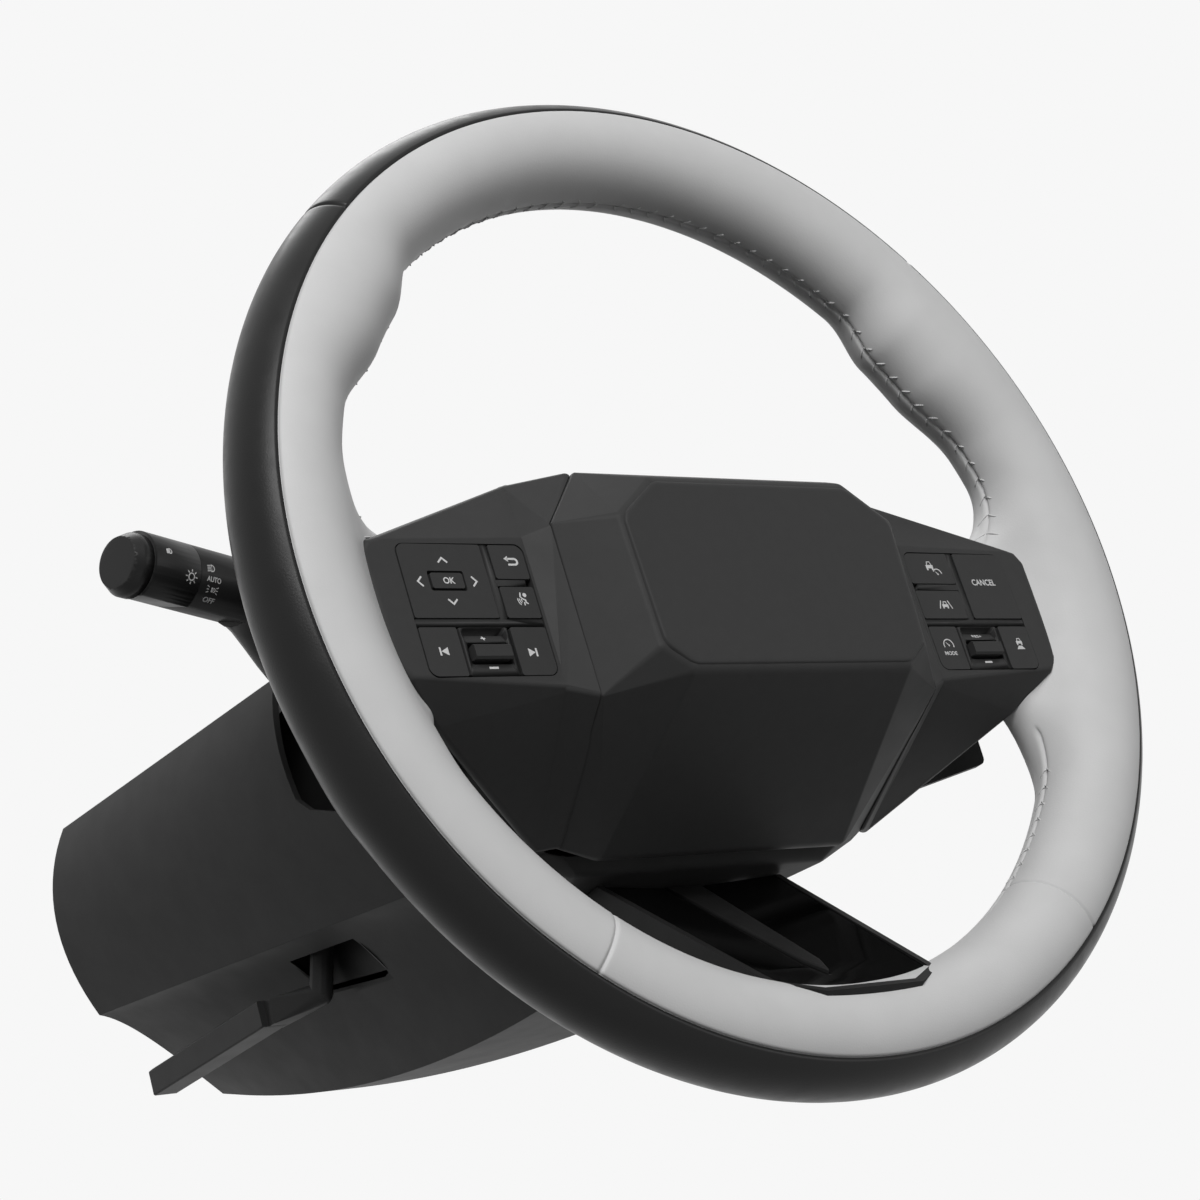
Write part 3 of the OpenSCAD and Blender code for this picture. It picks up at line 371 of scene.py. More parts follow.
def rim_reach(a, t):
    """How far the leather's outside is from the grip's centre line."""
    near, far = np.full_like(a, 8.0), np.full_like(a, 75.0)
    reach = np.full_like(a, GRIP_R)
    for _ in range(60):
        p = ring_point(a, t, reach)
        reach = np.clip(reach - 0.8 * rim_field(p[..., 0], p[..., 1], p[..., 2]), near, far)
    return reach + thumb_rest(a, t)


def angles(count, seams, radius):
    """Even steps round a circle, with extra ones beside each seam, in degrees."""
    step = 360 / count
    close = np.degrees(np.array(SEAM_STEPS) / radius)
    extra = [s + k for s in seams for k in np.concatenate([-close[:0:-1], close])]
    even = [i * step for i in range(count)]
    gap = close[-1] + step * 0.4
    kept = [e for e in even if all(abs((e - s + 180) % 360 - 180) > gap for s in seams)]
    return np.array(sorted({round(v % 360, 6) for v in kept + extra}))


def apart(angle, seam):
    """Signed difference in degrees, from -180 to 180."""
    return (angle - seam + 180) % 360 - 180


def groove(angle, seam, radius, size):
    """Depth of a groove of that width and depth along a seam."""
    width, depth = size
    return depth * np.exp(-((radians(1) * apart(angle, seam) * radius / width) ** 2))


def rim_leather():
    front_seams = (FRONT_SEAM, FRONT_SEAM + 180)
    ring = angles(560, LIGHT_JOINS + DARK_JOINS, RING_R)
    grip = angles(84, front_seams + (LACED,), GRIP_R)
    a, t = np.meshgrid(ring, grip, indexing="ij")
    reach = rim_reach(a, t)
    light = (t >= FRONT_SEAM) & (t <= FRONT_SEAM + 180)
    for s in front_seams:
        reach -= groove(t, s, reach, SEAM_GROOVE)
    for s in LIGHT_JOINS:
        reach -= groove(a, s, RING_R, JOIN_GROOVE) * light
    for s in DARK_JOINS:
        reach -= groove(a, s, RING_R, JOIN_GROOVE) * ~light
    laced = sum((a > start) & (a < end) for start, end in (LACED_UPPER, *LACED_LOWER))
    reach -= groove(t, LACED, reach, LACED_GROOVE) * laced
    points = ring_point(a, t, reach)
    n, m = len(ring), len(grip)
    i, j = np.meshgrid(np.arange(n), np.arange(m), indexing="ij")
    k, l = (i + 1) % n, (j + 1) % m
    faces = np.stack([i * m + j, k * m + j, k * m + l, i * m + l], axis=-1).reshape(-1, 4)
    t_mid = (grip[j] + apart(grip[l], grip[j]) / 2) % 360
    index = np.where((t_mid > FRONT_SEAM) & (t_mid < FRONT_SEAM + 180), 0, 1).reshape(-1)
    piece = add_mesh(
        "rim_leather", points.reshape(-1, 3), faces.tolist(), WHEEL,
        [FINISH["light_leather"], FINISH["dark_leather"]], "wheel", 180, index,
    )
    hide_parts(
        "upper_light_leather", "lower_light_leather", "upper_dark_leather", "lower_dark_leather",
        "rim_foam",
    )


def tube(path, r, sides=6):
    """Verts and faces of a round-ended thread along a short path."""
    verts, faces = [], []
    path = [Vector(p) for p in path]
    for i, p in enumerate(path):
        way = (path[min(i + 1, len(path) - 1)] - path[max(i - 1, 0)]).normalized()
        side = way.orthogonal().normalized()
        up = way.cross(side)
        thin = 0.55 if i in (0, len(path) - 1) else 1
        for s in range(sides):
            q = 2 * pi * s / sides
            verts.append(p + r * thin * (cos(q) * side + sin(q) * up))
    for i in range(len(path) - 1):
        for s in range(sides):
            n = (s + 1) % sides
            faces.append([i * sides + s, i * sides + n, (i + 1) * sides + n, (i + 1) * sides + s])
    faces.append([s for s in range(sides)][::-1])
    faces.append([(len(path) - 1) * sides + s for s in range(sides)])
    return verts, faces


STITCH_PITCH, THREAD_R = 7.4, 0.33
# A stitch's arm: how far along the seam and across it each of its points is, in mm, and how proud
STITCH_ARM = [
    (0.2, 0.15, -0.75), (0.7, 0.75, -0.1), (1.5, 1.6, 0.14), (2.4, 2.5, 0.05), (3.0, 3.1, -0.3),
]
# Where the stitches run round the wheel, in degrees
STITCHED = ((4, 90), (90, 176), (208, 232), (308, 332))


def stitches():
    """Thread that laces the leather's edges together along the inside of the grip."""
    verts, faces = [], []
    pitch = np.degrees(STITCH_PITCH / INNER_R)
    for start, end in STITCHED:
        count = int((end - start) / pitch)
        lean = -1 if start < 90 or start > 270 else 1
        for i in range(count):
            a = start + (i + 0.5) * pitch
            for way in (-1, 1):
                along, across, proud = np.array(STITCH_ARM).T
                spot_a = a + lean * np.degrees(along / INNER_R)
                spot_t = LACED + way * np.degrees(across / GRIP_R)
                v, f = tube(ring_point(spot_a, spot_t, rim_reach(spot_a, spot_t) + proud), THREAD_R)
                faces += [[len(verts) + q for q in face] for face in f]
                verts += [tuple(p) for p in v]
    piece = add_mesh("rim_stitches", verts, faces, WHEEL, FINISH["light_leather"], "wheel", 60)


# ---------------------------------------------------------------- airbag cover
# The cover is wrapped round spheres on both sides: centres, with a radius of their own along the seam
COVER_R = 5
COVER = [
    (41, 19, 23), (56.6, 6.6, 23), (54.7, -38.2, 23.5), (46, -44.8, 24), (52, -81.8, -37.5),
    (55.2, 32.2, 6.6, 1.5), (55.2, 32.2, -40, 1.5), (73, 11.8, 10.8, 1.2), (71.5, -48.2, 10.5, 1.2),
    (67.4, -79.2, -40.5, 1.2), (73, 11.8, -40, 1.2),
]
# The raised middle of the face: how far in from the face's corners, and how high, across its edge
PANEL_EDGE = [(0.2, -0.6), (0.5, 0.1), (0.9, 0.4), (1.5, 0.55), (2.4, 0.62)]
PANEL = [
    (42, 20.5), (-42, 20.5), (-58.5, 7.5), (-56.5, -39), (-47, -46.5), (47, -46.5), (56.5, -39), (58.5, 7.5),
]
PANEL_TOP, PANEL_CORNER = 28, 7


def rounded_outline(corners, inset, r, steps=8):
    """A convex outline moved in by inset, with arcs of radius r at its corners."""
    n = len(corners)
    lines = []
    for i in range(n):
        a, b = Vector(corners[i]), Vector(corners[(i + 1) % n])
        d = (b - a).normalized()
        lines.append((a + inset * Vector((-d.y, d.x)), d))
    points = []
    for i in range(n):
        (p, d), (q, e) = lines[i - 1], lines[i]
        t = (q - p).cross(e) / d.cross(e)
        corner = p + t * d
        half = d.angle(e) / 2
        back = min(r * tan(half), 12)
        r_here = back / tan(half)
        centre = corner - d * back + Vector((-d.y, d.x)) * r_here
        for k in range(steps + 1):
            turn = 2 * half * k / steps
            arm = Vector((d.y, -d.x)) * r_here
            arm.rotate(Matrix.Rotation(turn, 2))
            points.append(centre + arm)
    return points


def airbag_cover():
    bm = wrapped(COVER, COVER_R, True)
    upper = PANEL[0][1]
    rings = []
    for inset, rise in PANEL_EDGE:
        ring = rounded_outline(PANEL, inset, max(PANEL_CORNER - inset, 3))
        rings.append([bm.verts.new((p.x, p.y, PANEL_TOP + (upper - p.y) / 67 + rise)) for p in ring])
    for low, high in zip(rings, rings[1:]):
        for i in range(len(low)):
            k = (i + 1) % len(low)
            bm.faces.new((low[i], low[k], high[k], high[i]))
    bm.faces.new(rings[-1])
    bm.faces.new(rings[0][::-1])
    piece = from_bmesh("airbag_cover_skin", bm, WHEEL, FINISH["trim_plastic"], "airbag", 60)
    weighted(piece)
    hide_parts("airbag_cover")


# ---------------------------------------------------------------- switch bezels
# The right bezel is the part round the keys joined to the flank that rises to the cover
BEZEL_R = 2.5
BEZEL_FACE = [
    (80, 9.5, 2.5), (136, 8.3, 1.8), (140.4, 7, 1.8), (142.6, 3.6, 2), (141.8, -29, 3.4),
    (140.9, -34.6, 3.8), (137.6, -38.2, 4), (79, -42.5, 4.5), (121, 12, -14), (101, 18, -18),
    (73, 33.6, -8.5), (124, -49, -7.5), (100, -60, -24.5), (72, -78, -43.5),
]
BEZEL_FLANK = [
    (82, 9.5, 2.2), (81.6, -42.5, 4.2), (73, 11, 9), (71.2, -47.4, 9.2), (57.5, 32.3, 3.5),
    (75, 33, -8.5), (62, 32, -20), (73, 9, -20), (73, -50, -8), (72, -78, -43.5), (66.7, -78.7, -39.2),
]
PAD_W, PAD_H, PAD_CORNER, POCKET_DEPTH = 49, 47.4, 3.5, 9.2
COVER_GAP = 0.3


def hull_tool(name, centres, r, to, both_sides=False, finish=3, grow=0):
    tool = hidden(name, *unpacked(wrapped(centres, r, both_sides, finish, grow)), to)
    tidy_normals(tool.data)
    return tool


def bezel(side):
    name = "left_bezel" if side < 0 else "right_bezel"
    to = WHEEL @ mirrored(side)
    face = wrapped(BEZEL_FACE, BEZEL_R)
    piece = from_bmesh(name + "_skin", face, to, FINISH["trim_plastic"], "wheel", None)
    tidy_normals(piece.data)
    flank = hull_tool("flank", BEZEL_FLANK, BEZEL_R, to, finish=4)
    join = piece.modifiers.new("join", "BOOLEAN")
    join.operation, join.solver, join.object = "UNION", "EXACT", flank
    w, h = PAD_W / 2, PAD_H / 2
    outline = rounded_outline([(-w, -h), (w, -h), (w, h), (-w, h)], 0, PAD_CORNER)
    n = len(outline)
    verts = [(p.x, p.y, z) for z in (-POCKET_DEPTH, 30) for p in outline]
    faces = [tuple(range(n))[::-1], tuple(range(n, 2 * n))]
    faces += [(i, (i + 1) % n, n + (i + 1) % n, n + i) for i in range(n)]
    pocket = hidden("pocket", verts, faces, pad_frame(side))
    tidy_normals(pocket.data)
    cover = hull_tool("cover_room", COVER, COVER_R, WHEEL, True, grow=COVER_GAP)
    cut(piece, [pocket, cover])
    bpy.data.objects.remove(flank)
    shade(piece.data, 30)
    weighted(piece)
    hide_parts(name)


# ---------------------------------------------------------------- column shrouds
SHROUD_HALF, SHROUD_WALL, SHROUD_FRONT, SHROUD_END = 78, 2.5, 82, -415
SHROUD_STATIONS, SIDE_STEPS = 44, 18
# Each stalk's opening, as distance along the column and height
STALK_WINDOW = [
    (-163.5, 35.6), (-166, 32.6), (-166, -12), (-161, -18), (-146, -25), (-102, -29), (-102, 35.6),
]
LEVER_RECESS = ((-51, -82, -243), (-37.5, -40, -196))
# Y of the upright plane where the shroud meets the dashboard, in mm of the row's frame
DASHBOARD = -36


def bend(a, b, c, t):
    """The point at t on a curve from a to c that is drawn towards b."""
    return tuple((1 - t) ** 2 * p + 2 * t * (1 - t) * q + t * t * r for p, q, r in zip(a, b, c))


def shoulder(z):
    """Height of the upper shroud's shoulder at z."""
    return 30 + 0.0745 * (-80 - z)


def crease(z):
    """Height of the crease where the two halves meet."""
    return -70 + 0.157 * (-80 - z)


def keel(z):
    """Height of the lowest line of the lower shroud."""
    return -112 + 0.00056 * (-90 - z) ** 2


def upper_half(z, w):
    s = (SHROUD_HALF - w, shoulder(z) - 0.5 * w)
    c = (SHROUD_HALF - 17 - 0.9 * w, crease(z))
    side = (SHROUD_HALF + 15 - w, (shoulder(z) + crease(z)) / 2 + 4)
    top, crown = (0, shoulder(z) + 12 - w), (50, shoulder(z) + 12 - w)
    n = SIDE_STEPS
    flank = [bend(c, side, s, i / n) for i in range(n + 1)]
    return flank + [bend(s, crown, top, i / n) for i in range(1, n)] + [top]


def lower_half(z, w):
    c = (SHROUD_HALF - 17 - 0.9 * w, crease(z))
    side = (SHROUD_HALF - 36 - 0.5 * w, crease(z) - 4 + 0.7 * w)
    k = (max(1.5, 2 + 0.1 * (z + 390)) - 0.3 * w, keel(z) + w)
    return [bend(k, side, c, i / SIDE_STEPS) for i in range(SIDE_STEPS + 1)]


def shell(bm, half):
    """A walled half-tube lofted down the column. half(z, w) runs round its +X side, w inside its face."""
    rings = []
    for i in range(SHROUD_STATIONS + 1):
        z = -SHROUD_FRONT + (SHROUD_END + SHROUD_FRONT) * i / SHROUD_STATIONS
        loop = []
        for w in (0, SHROUD_WALL):
            right = half(z, w)
            open_end = right[-1][0] > 1
            left = [(-x, y) for x, y in right]
            across = (left[::-1] + right) if open_end else (right + left[-2::-1])
            loop += across if w == 0 else across[::-1]
        rings.append([bm.verts.new((x, y, z)) for x, y in loop])
    for a, b in zip(rings, rings[1:]):
        for i in range(len(a)):
            k = (i + 1) % len(a)
            bm.faces.new((a[i], a[k], b[k], b[i]))
    n = len(rings[0]) // 2
    for ring in (rings[0], rings[-1]):
        for i in range(n - 1):
            bm.faces.new((ring[i], ring[i + 1], ring[2 * n - 2 - i], ring[2 * n - 1 - i]))
    bmesh.ops.recalc_face_normals(bm, faces=bm.faces)


def block(name, low, high, to):
    """A hidden box to cut with."""
    xs, ys, zs = zip(low, high)
    verts = [(x, y, z) for x in xs for y in ys for z in zs]
    faces = [(0, 1, 3, 2), (4, 6, 7, 5), (0, 4, 5, 1), (2, 3, 7, 6), (0, 2, 6, 4), (1, 5, 7, 3)]
    return hidden(name, verts, faces, to)


def hidden(name, verts, faces, to):
    mesh = bpy.data.meshes.new(name)
    mesh.from_pydata([to @ Vector(v) for v in verts], [], faces)
    tool = bpy.data.objects.new(name, mesh)
    bpy.context.scene.collection.objects.link(tool)
    return tool


def cut(piece, tools):
    """Takes the tools away from the piece for good."""
    for tool in tools:
        m = piece.modifiers.new("cut", "BOOLEAN")
        m.operation, m.solver, m.object = "DIFFERENCE", "EXACT", tool
    bpy.context.view_layer.update()
    seen = piece.evaluated_get(bpy.context.evaluated_depsgraph_get())
    done = bpy.data.meshes.new_from_object(seen)
    piece.modifiers.clear()
    piece.data = done
    for tool in tools:
        bpy.data.objects.remove(tool)


def bevelled(piece, width, angle=32, segments=3):
    m = piece.modifiers.new("bevel", "BEVEL")
    m.width, m.segments = width / 1000, segments
    m.limit_method, m.angle_limit = "ANGLE", radians(angle)


def shroud(name, half, node, slot):
    bm = bmesh.new()
    shell(bm, half)
    piece = from_bmesh(name, bm, WHEEL, FINISH[slot], "reach_column", None)
    tools = [block("dashboard_cut", (-150, DASHBOARD, -300), (150, 300, 300), ROW)]
    if node == "upper_shroud":
        n = len(STALK_WINDOW)
        for side in (1, -1):
            verts = [(side * x, y, z) for x in (55, 110) for z, y in STALK_WINDOW]
            faces = [tuple(range(n)), tuple(range(2 * n - 1, n - 1, -1))]
            faces += [(i, i + n, (i + 1) % n + n, (i + 1) % n) for i in range(n)]
            tool = hidden("window_cut", verts, faces, WHEEL)
            tidy_normals(tool.data)
            tools.append(tool)
    else:
        tools.append(block("lever_cut", *LEVER_RECESS, WHEEL))
        lever_well()
    tidy_normals(tools[0].data)
    cut(piece, tools)
    bm = bmesh.new()
    bm.from_mesh(piece.data)
    bmesh.ops.remove_doubles(bm, verts=bm.verts, dist=1e-6)
    bm.to_mesh(piece.data)
    bm.free()
    shade(piece.data, 35)
    bevelled(piece, 0.5, 40, 2)
    weighted(piece)
    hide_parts(node)


WELL_WALL, WELL_TOP, WELL_SUNK = 1.2, -16, 1.1


def lever_well():
    """The dark box that the tilt lever swings in, behind the opening in the lower shroud."""
    (x0, _, z0), (x1, _, z1) = LEVER_RECESS
    verts = []
    for g, top in ((WELL_WALL, WELL_TOP), (0, WELL_TOP - WELL_WALL)):
        # The open edge follows the shroud's face, a little inside it
        corners = [(x0 - g, z0 - g), (x1 + g, z0 - g), (x1 + g, z1 + g), (x0 - g, z1 + g)]
        verts += [(x, shroud_face(x, z) + WELL_SUNK, z) for x, z in corners]
        verts += [(x, top, z) for x, z in corners]
    faces = [(0, 1, 9, 8), (1, 2, 10, 9), (2, 3, 11, 10), (3, 0, 8, 11), (4, 5, 6, 7), (12, 13, 14, 15)]
    faces += [(i, (i + 1) % 4, 4 + (i + 1) % 4, 4 + i) for i in range(4)]
    faces += [(8 + i, 8 + (i + 1) % 4, 12 + (i + 1) % 4, 12 + i) for i in range(4)]
    piece = add_mesh("lever_well", verts, faces, WHEEL, FINISH["black_plastic"], "reach_column")
    tidy_normals(piece.data)


def shroud_face(x, z):
    """Height of the lower shroud's outside at x, in the wheel's frame."""
    points = lower_half(z, 0)
    for a, b in zip(points, points[1:]):
        if a[0] <= abs(x) <= b[0]:
            return a[1] + (b[1] - a[1]) * (abs(x) - a[0]) / (b[0] - a[0])
    return points[-1][1]


# The plate behind a stalk's opening and the hole in it: back, front, low and high, and the plate's two faces
LINER, ARM_HOLE, LINER_X = (-215, -99, -31, 33), (-149.5, -130.5, -4, 20), (61.6, 62.8)


def window_liner(side):
    """A plate behind each stalk's opening in the shroud, with a hole that the arm moves in."""
    corners = []
    for back, front, low, high in (LINER, ARM_HOLE):
        corners += [(back, low), (front, low), (front, high), (back, high)]
    verts = [(x, y, z) for x in LINER_X for z, y in corners]
    faces = []
    for i in range(4):
        j = (i + 1) % 4
        faces += [(i, j, 4 + j, 4 + i), (8 + i, 12 + i, 12 + j, 8 + j)]
        faces += [(i, 8 + i, 8 + j, j), (4 + i, 4 + j, 12 + j, 12 + i)]
    name = "left_window_liner" if side < 0 else "right_window_liner"
    piece = add_mesh(name, verts, faces, WHEEL @ mirrored(side), FINISH["black_plastic"], "reach_column")
    tidy_normals(piece.data)


def tidy_normals(mesh):
    bm = bmesh.new()
    bm.from_mesh(mesh)
    bmesh.ops.recalc_face_normals(bm, faces=bm.faces)
    bm.to_mesh(mesh)
    bm.free()


# ---------------------------------------------------------------- printed symbols
# A symbol is a list of flat shapes, each a closed outline or a strip (two equally long edges), in mm
PRINT_LOW, PRINT_HIGH = 0.01, 0.05


def line(points, width, closed=False):
    """A strip of that width along a path, with mitred corners."""
    p = [Vector(q) for q in points]
    left, right = [], []
    n = len(p)
    for i in range(n):
        before = p[i] - p[i - 1] if i or closed else p[1] - p[0]
        after = p[(i + 1) % n] - p[i] if i < n - 1 or closed else p[-1] - p[-2]
        before, after = before.normalized(), after.normalized()
        along = (before + after).normalized()
        out = Vector((-along.y, along.x)) * (width / 2 / max(along.dot(after), 0.4))
        left.append(p[i] + out)
        right.append(p[i] - out)
    if closed:
        left.append(left[0])
        right.append(right[0])
    return (left, right)


def arc(x, y, r, start, end, steps=14):
    turns = [radians(start + (end - start) * i / steps) for i in range(steps + 1)]
    return [(x + r * cos(turn), y + r * sin(turn)) for turn in turns]


def disc(x, y, r, steps=18):
    return [Vector(q) for q in arc(x, y, r, 0, 360 - 360 / steps, steps - 1)]


def shape(*points):
    return [Vector(p) for p in points]


def letters(text, height, width=None, x=0, y=0):
    """Flat shapes of a word in Blender's own sans face, that high and wide, centred on x, y."""
    data = bpy.data.curves.new("word", "FONT")
    data.body = text
    data.offset = 0.02
    data.resolution_u = 4
    holder = bpy.data.objects.new("word", data)
    bpy.context.scene.collection.objects.link(holder)
    bpy.context.view_layer.update()
    seen = holder.evaluated_get(bpy.context.evaluated_depsgraph_get())
    mesh = bpy.data.meshes.new_from_object(seen)
    co = np.array([v.co[:2] for v in mesh.vertices])
    low, high = co.min(0), co.max(0)
    tall = height / (high[1] - low[1])
    wide = width / (high[0] - low[0]) if width else tall
    co = (co - (low + high) / 2) * (wide, tall) + (x, y)
    shapes = [[Vector(co[i]) for i in f.vertices] for f in mesh.polygons]
    bpy.data.objects.remove(holder)
    bpy.data.meshes.remove(mesh)
    bpy.data.curves.remove(data)
    return shapes


def car(x, y, w, h):
    """A car seen from behind: its cabin, body and wheels."""
    u, v = w / 2, h / 2
    waist, sill = y + 0.25 * v, y - 0.55 * v
    cabin = [(x - 0.62 * u, waist), (x - 0.4 * u, y + v), (x + 0.4 * u, y + v), (x + 0.62 * u, waist)]
    parts = [line(cabin, 0.32), shape((x - u, waist), (x - u, sill), (x + u, sill), (x + u, waist))]
    for a, b in ((x - 0.95 * u, x - 0.5 * u), (x + 0.5 * u, x + 0.95 * u)):
        parts.append(shape((a, sill), (a, y - v), (b, y - v), (b, sill)))
    return parts


def gauge(x, y, r, start=-20, end=200):
    """A dial with its needle."""
    needle = shape((x - 0.55 * r, y + 0.6 * r), (x + 0.35, y + 0.1), (x - 0.05, y - 0.35))
    return [line(arc(x, y, r, end, start), 0.42), disc(x + 0.05, y - 0.05, 0.42), needle]


def chevron(x, y, turn, reach=1.75, rise=0.85):
    c, s = cos(radians(turn)), sin(radians(turn))
    points = [(-reach, -rise), (0, rise), (reach, -rise)]
    return [line([(x + c * a - s * b, y + s * a + c * b) for a, b in points], 0.62)]


def skip_mark(x, y, way):
    """A bar and a triangle that points at it. way is -1 with the bar on the left."""
    near, far, back = x + way * 1.1, x + way * 1.75, x - way * 1.6
    low, high = y - 1.45, y + 1.45
    bar = shape((near, high), (far, high), (far, low), (near, low))
    return [bar, shape((x + way * 1.0, y), (back, high), (back, low))]


def speaking(x, y):
    """A head and shoulder beside sound waves."""
    parts = [disc(x + 1.0, y + 1.5, 0.75)]
    shoulder_line = [(-0.5, 2.4), (-0.9, 0.9), (-0.2, 0.2), (0.9, -0.4), (0.9, -1.2), (1.7, -1.6)]
    parts.append(line([(x + a, y + b) for a, b in shoulder_line], 0.5))
    parts.append(line([(x + 0.2, y - 1.0), (x + 0.2, y - 2.2)], 0.5))
    for r in (0.8, 1.5, 2.2):
        parts.append(line(arc(x + 0.1, y - 0.2, r, 165, 235, 6), 0.36))
    return parts


def headlamp(x, y, k, rays, lean=-0.35):
    """A lamp of half height k and its slanting rays."""
    flat = x + 0.2 * k
    parts = [line([(flat, y - k)] + arc(flat, y, k, -60, 60, 8) + [(flat, y + k)], 0.34, True)]
    for i in range(rays):
        v = y + k * (0.8 - 1.6 * i / (rays - 1))
        parts.append(line([(x - 0.1 * k, v), (x - 1.3 * k, v + lean)], 0.34))
    return parts


def sun(x, y, r):
    parts = [line(arc(x, y, r, 0, 330, 11), 0.42, True)]
    for i in range(8):
        c, s = cos(radians(45 * i)), sin(radians(45 * i))
        parts.append(line([(x + c * k, y + s * k) for k in (r + 0.5, r + 1.35)], 0.4))
    return parts


def side_lights(x, y):
    """Two lamps back to back, each with three rays."""
    parts = []
    for w in (-1, 1):
        flat = x + w * 0.45
        bow = arc(flat, y, 0.75, -90 * w, 90 * w, 8)[1:-1]
        parts.append(line([(flat, y - 0.75)] + bow + [(flat, y + 0.75)], 0.3))
        for v, tip in ((0.8, 1.25), (0, 0), (-0.8, -1.25)):
            parts.append(line([(x + w * 1.6, y + v), (x + w * 2.5, y + tip)], 0.3))
    return parts


def printed(name, shapes, body, place):
    """Thin raised print of the shapes. place turns a point x, y, z of the print into the row's frame."""
    verts, faces = [], []
    for s in shapes:
        start = len(verts)
        if isinstance(s, tuple):
            left, right = s
            n = len(left)
            loop = left + right[::-1]
            quads = [(i, i + 1, 2 * n - 2 - i, 2 * n - 1 - i) for i in range(n - 1)]
        else:
            loop = s
            quads = [tuple(range(len(s)))]
        m = len(loop)
        verts += [place(p[0], p[1], z) for z in (PRINT_LOW, PRINT_HIGH) for p in loop]
        for q in quads:
            faces.append([start + m + i for i in q])
            faces.append([start + i for i in q][::-1])
        for i in range(m):
            k = (i + 1) % m
            faces.append([start + i, start + k, start + m + k, start + m + i])
    piece = add_mesh(name, verts, faces, Matrix.Identity(4), PRINT, body)
    tidy_normals(piece.data)


def on_pad(side, depth=0.0):
    frame_of = pad_frame(side)
    return lambda x, y, z: frame_of @ Vector((x, y, z - depth))


def on_stalk(side, r):
    """x runs back along the stalk from its knob's end and y up round it."""
    frame_of = stalk_frame(side)

    def place(x, y, z):
        turn = pi - y / r
        return frame_of @ Vector(((r + z) * cos(turn), (r + z) * sin(turn), -x))

    return place


PLUS = [line(ends, 0.5) for ends in ([(-0.9, 0), (0.9, 0)], [(0, 0.25), (0, 0.9)], [(0, -0.25), (0, -0.9)])]
MINUS = [line([(-1.75, 0), (1.75, 0)], 0.75)]
# How far under the keys' face a toggle's minus sign lies, and its place below the middle
BLOCK_DEPTH, MINUS_Y = 0.3, -20.5


def moved(shapes, x, y):
    by = Vector((x, y))
    done = []
    for s in shapes:
        if isinstance(s, tuple):
            done.append(tuple([p + by for p in edge] for edge in s))
        else:
            done.append([p + by for p in s])
    return done


# The slope above a toggle: where it starts and ends, how deep there, its width and thickness
RAMP_Y, RAMP_Z, RAMP_W, RAMP_WALL = (-8.3, -11.8), (-2.3, -0.3), 15.6, 1.2


def ramp(name, side, mid):
    (y0, y1), (z0, z1), half = RAMP_Y, RAMP_Z, RAMP_W / 2
    section = [(y0, z0), (y1, z1), (y1, z1 - RAMP_WALL), (y0, z0 - RAMP_WALL)]
    verts = [(mid + x, y, z) for x in (-half, half) for y, z in section]
    faces = [(0, 1, 2, 3), (7, 6, 5, 4)]
    faces += [(i, 4 + i, 4 + (i + 1) % 4, (i + 1) % 4) for i in range(4)]
    piece = add_mesh(name, verts, faces, pad_frame(side), FINISH["key_plastic"], "wheel")
    tidy_normals(piece.data)


def on_ramp(side):
    frame_of = pad_frame(side)
    (y0, y1), (z0, z1) = RAMP_Y, RAMP_Z
    return lambda x, y, z: frame_of @ Vector((x, y, z0 + (z1 - z0) * (y - y0) / (y1 - y0) + z))


def key_prints():
    left, right = on_pad(-1), on_pad(1)
    arrows = chevron(-8.0, 17.5, 0) + chevron(-8.15, 2.7, 180)
    arrows += chevron(-18.5, 9.85, 90) + chevron(2.1, 9.95, -90)
    printed("nav_print", arrows, "nav_pad", left)
    printed("ok_print", letters("OK", 2.3, 4.4, -7.6, 10.15), "ok_key", on_pad(-1, -0.2))
    arrow = line([(17.0, 18.35)] + arc(19.9, 17.3, 1.05, 90, -90, 10) + [(17.2, 16.25)], 0.72)
    printed("back_print", [arrow, shape((15.9, 18.35), (17.5, 19.4), (17.5, 17.3))], "back_key", left)
    printed("voice_print", speaking(18.9, 3.7), "voice_key", left)
    printed("previous_print", skip_mark(-16.95, -14.75, -1), "previous_key", left)
    printed("next_print", skip_mark(16.55, -15.3, 1), "next_key", left)
    cruise = car(-13.0, 18.2, 3.4, 3.4) + gauge(-10.1, 15.0, 2.0, 5, 150)
    printed("cruise_print", cruise, "cruise_key", right)
    lanes = [line([(-15.0, 0.9), (-13.6, 4.1)], 0.42), line([(-8.9, 0.9), (-10.3, 4.1)], 0.42)]
    printed("lane_print", lanes + car(-12.0, 2.3, 2.9, 2.7), "lane_key", right)
    printed("cancel_print", letters("CANCEL", 2.5, 11.6, 11.2, 11.7), "cancel_key", right)
    mode = gauge(-17.4, -13.8, 2.3) + letters("MODE", 1.5, 5.9, -17.6, -17.0)
    printed("mode_print", mode, "mode_key", right)
    road = shape((16.1, -15.6), (17.2, -14.2), (18.9, -14.2), (20.0, -15.6))
    printed("distance_print", [road] + car(18.05, -12.6, 2.9, 2.6), "distance_key", right)
    toggles = ((-1, "volume", 0.15, PLUS), (1, "speed", -0.45, letters("RES+", 1.3, 4.6)))
    for side, name, mid, mark in toggles:
        ramp(name + "_ramp", side, mid)
        printed(name + "_up_print", moved(mark, mid, RAMP_Y[0] - 1.2), "wheel", on_ramp(side))
        printed(name + "_down_print", moved(MINUS, mid, MINUS_Y), "wheel", on_pad(side, BLOCK_DEPTH))


STALK_R = 12.5


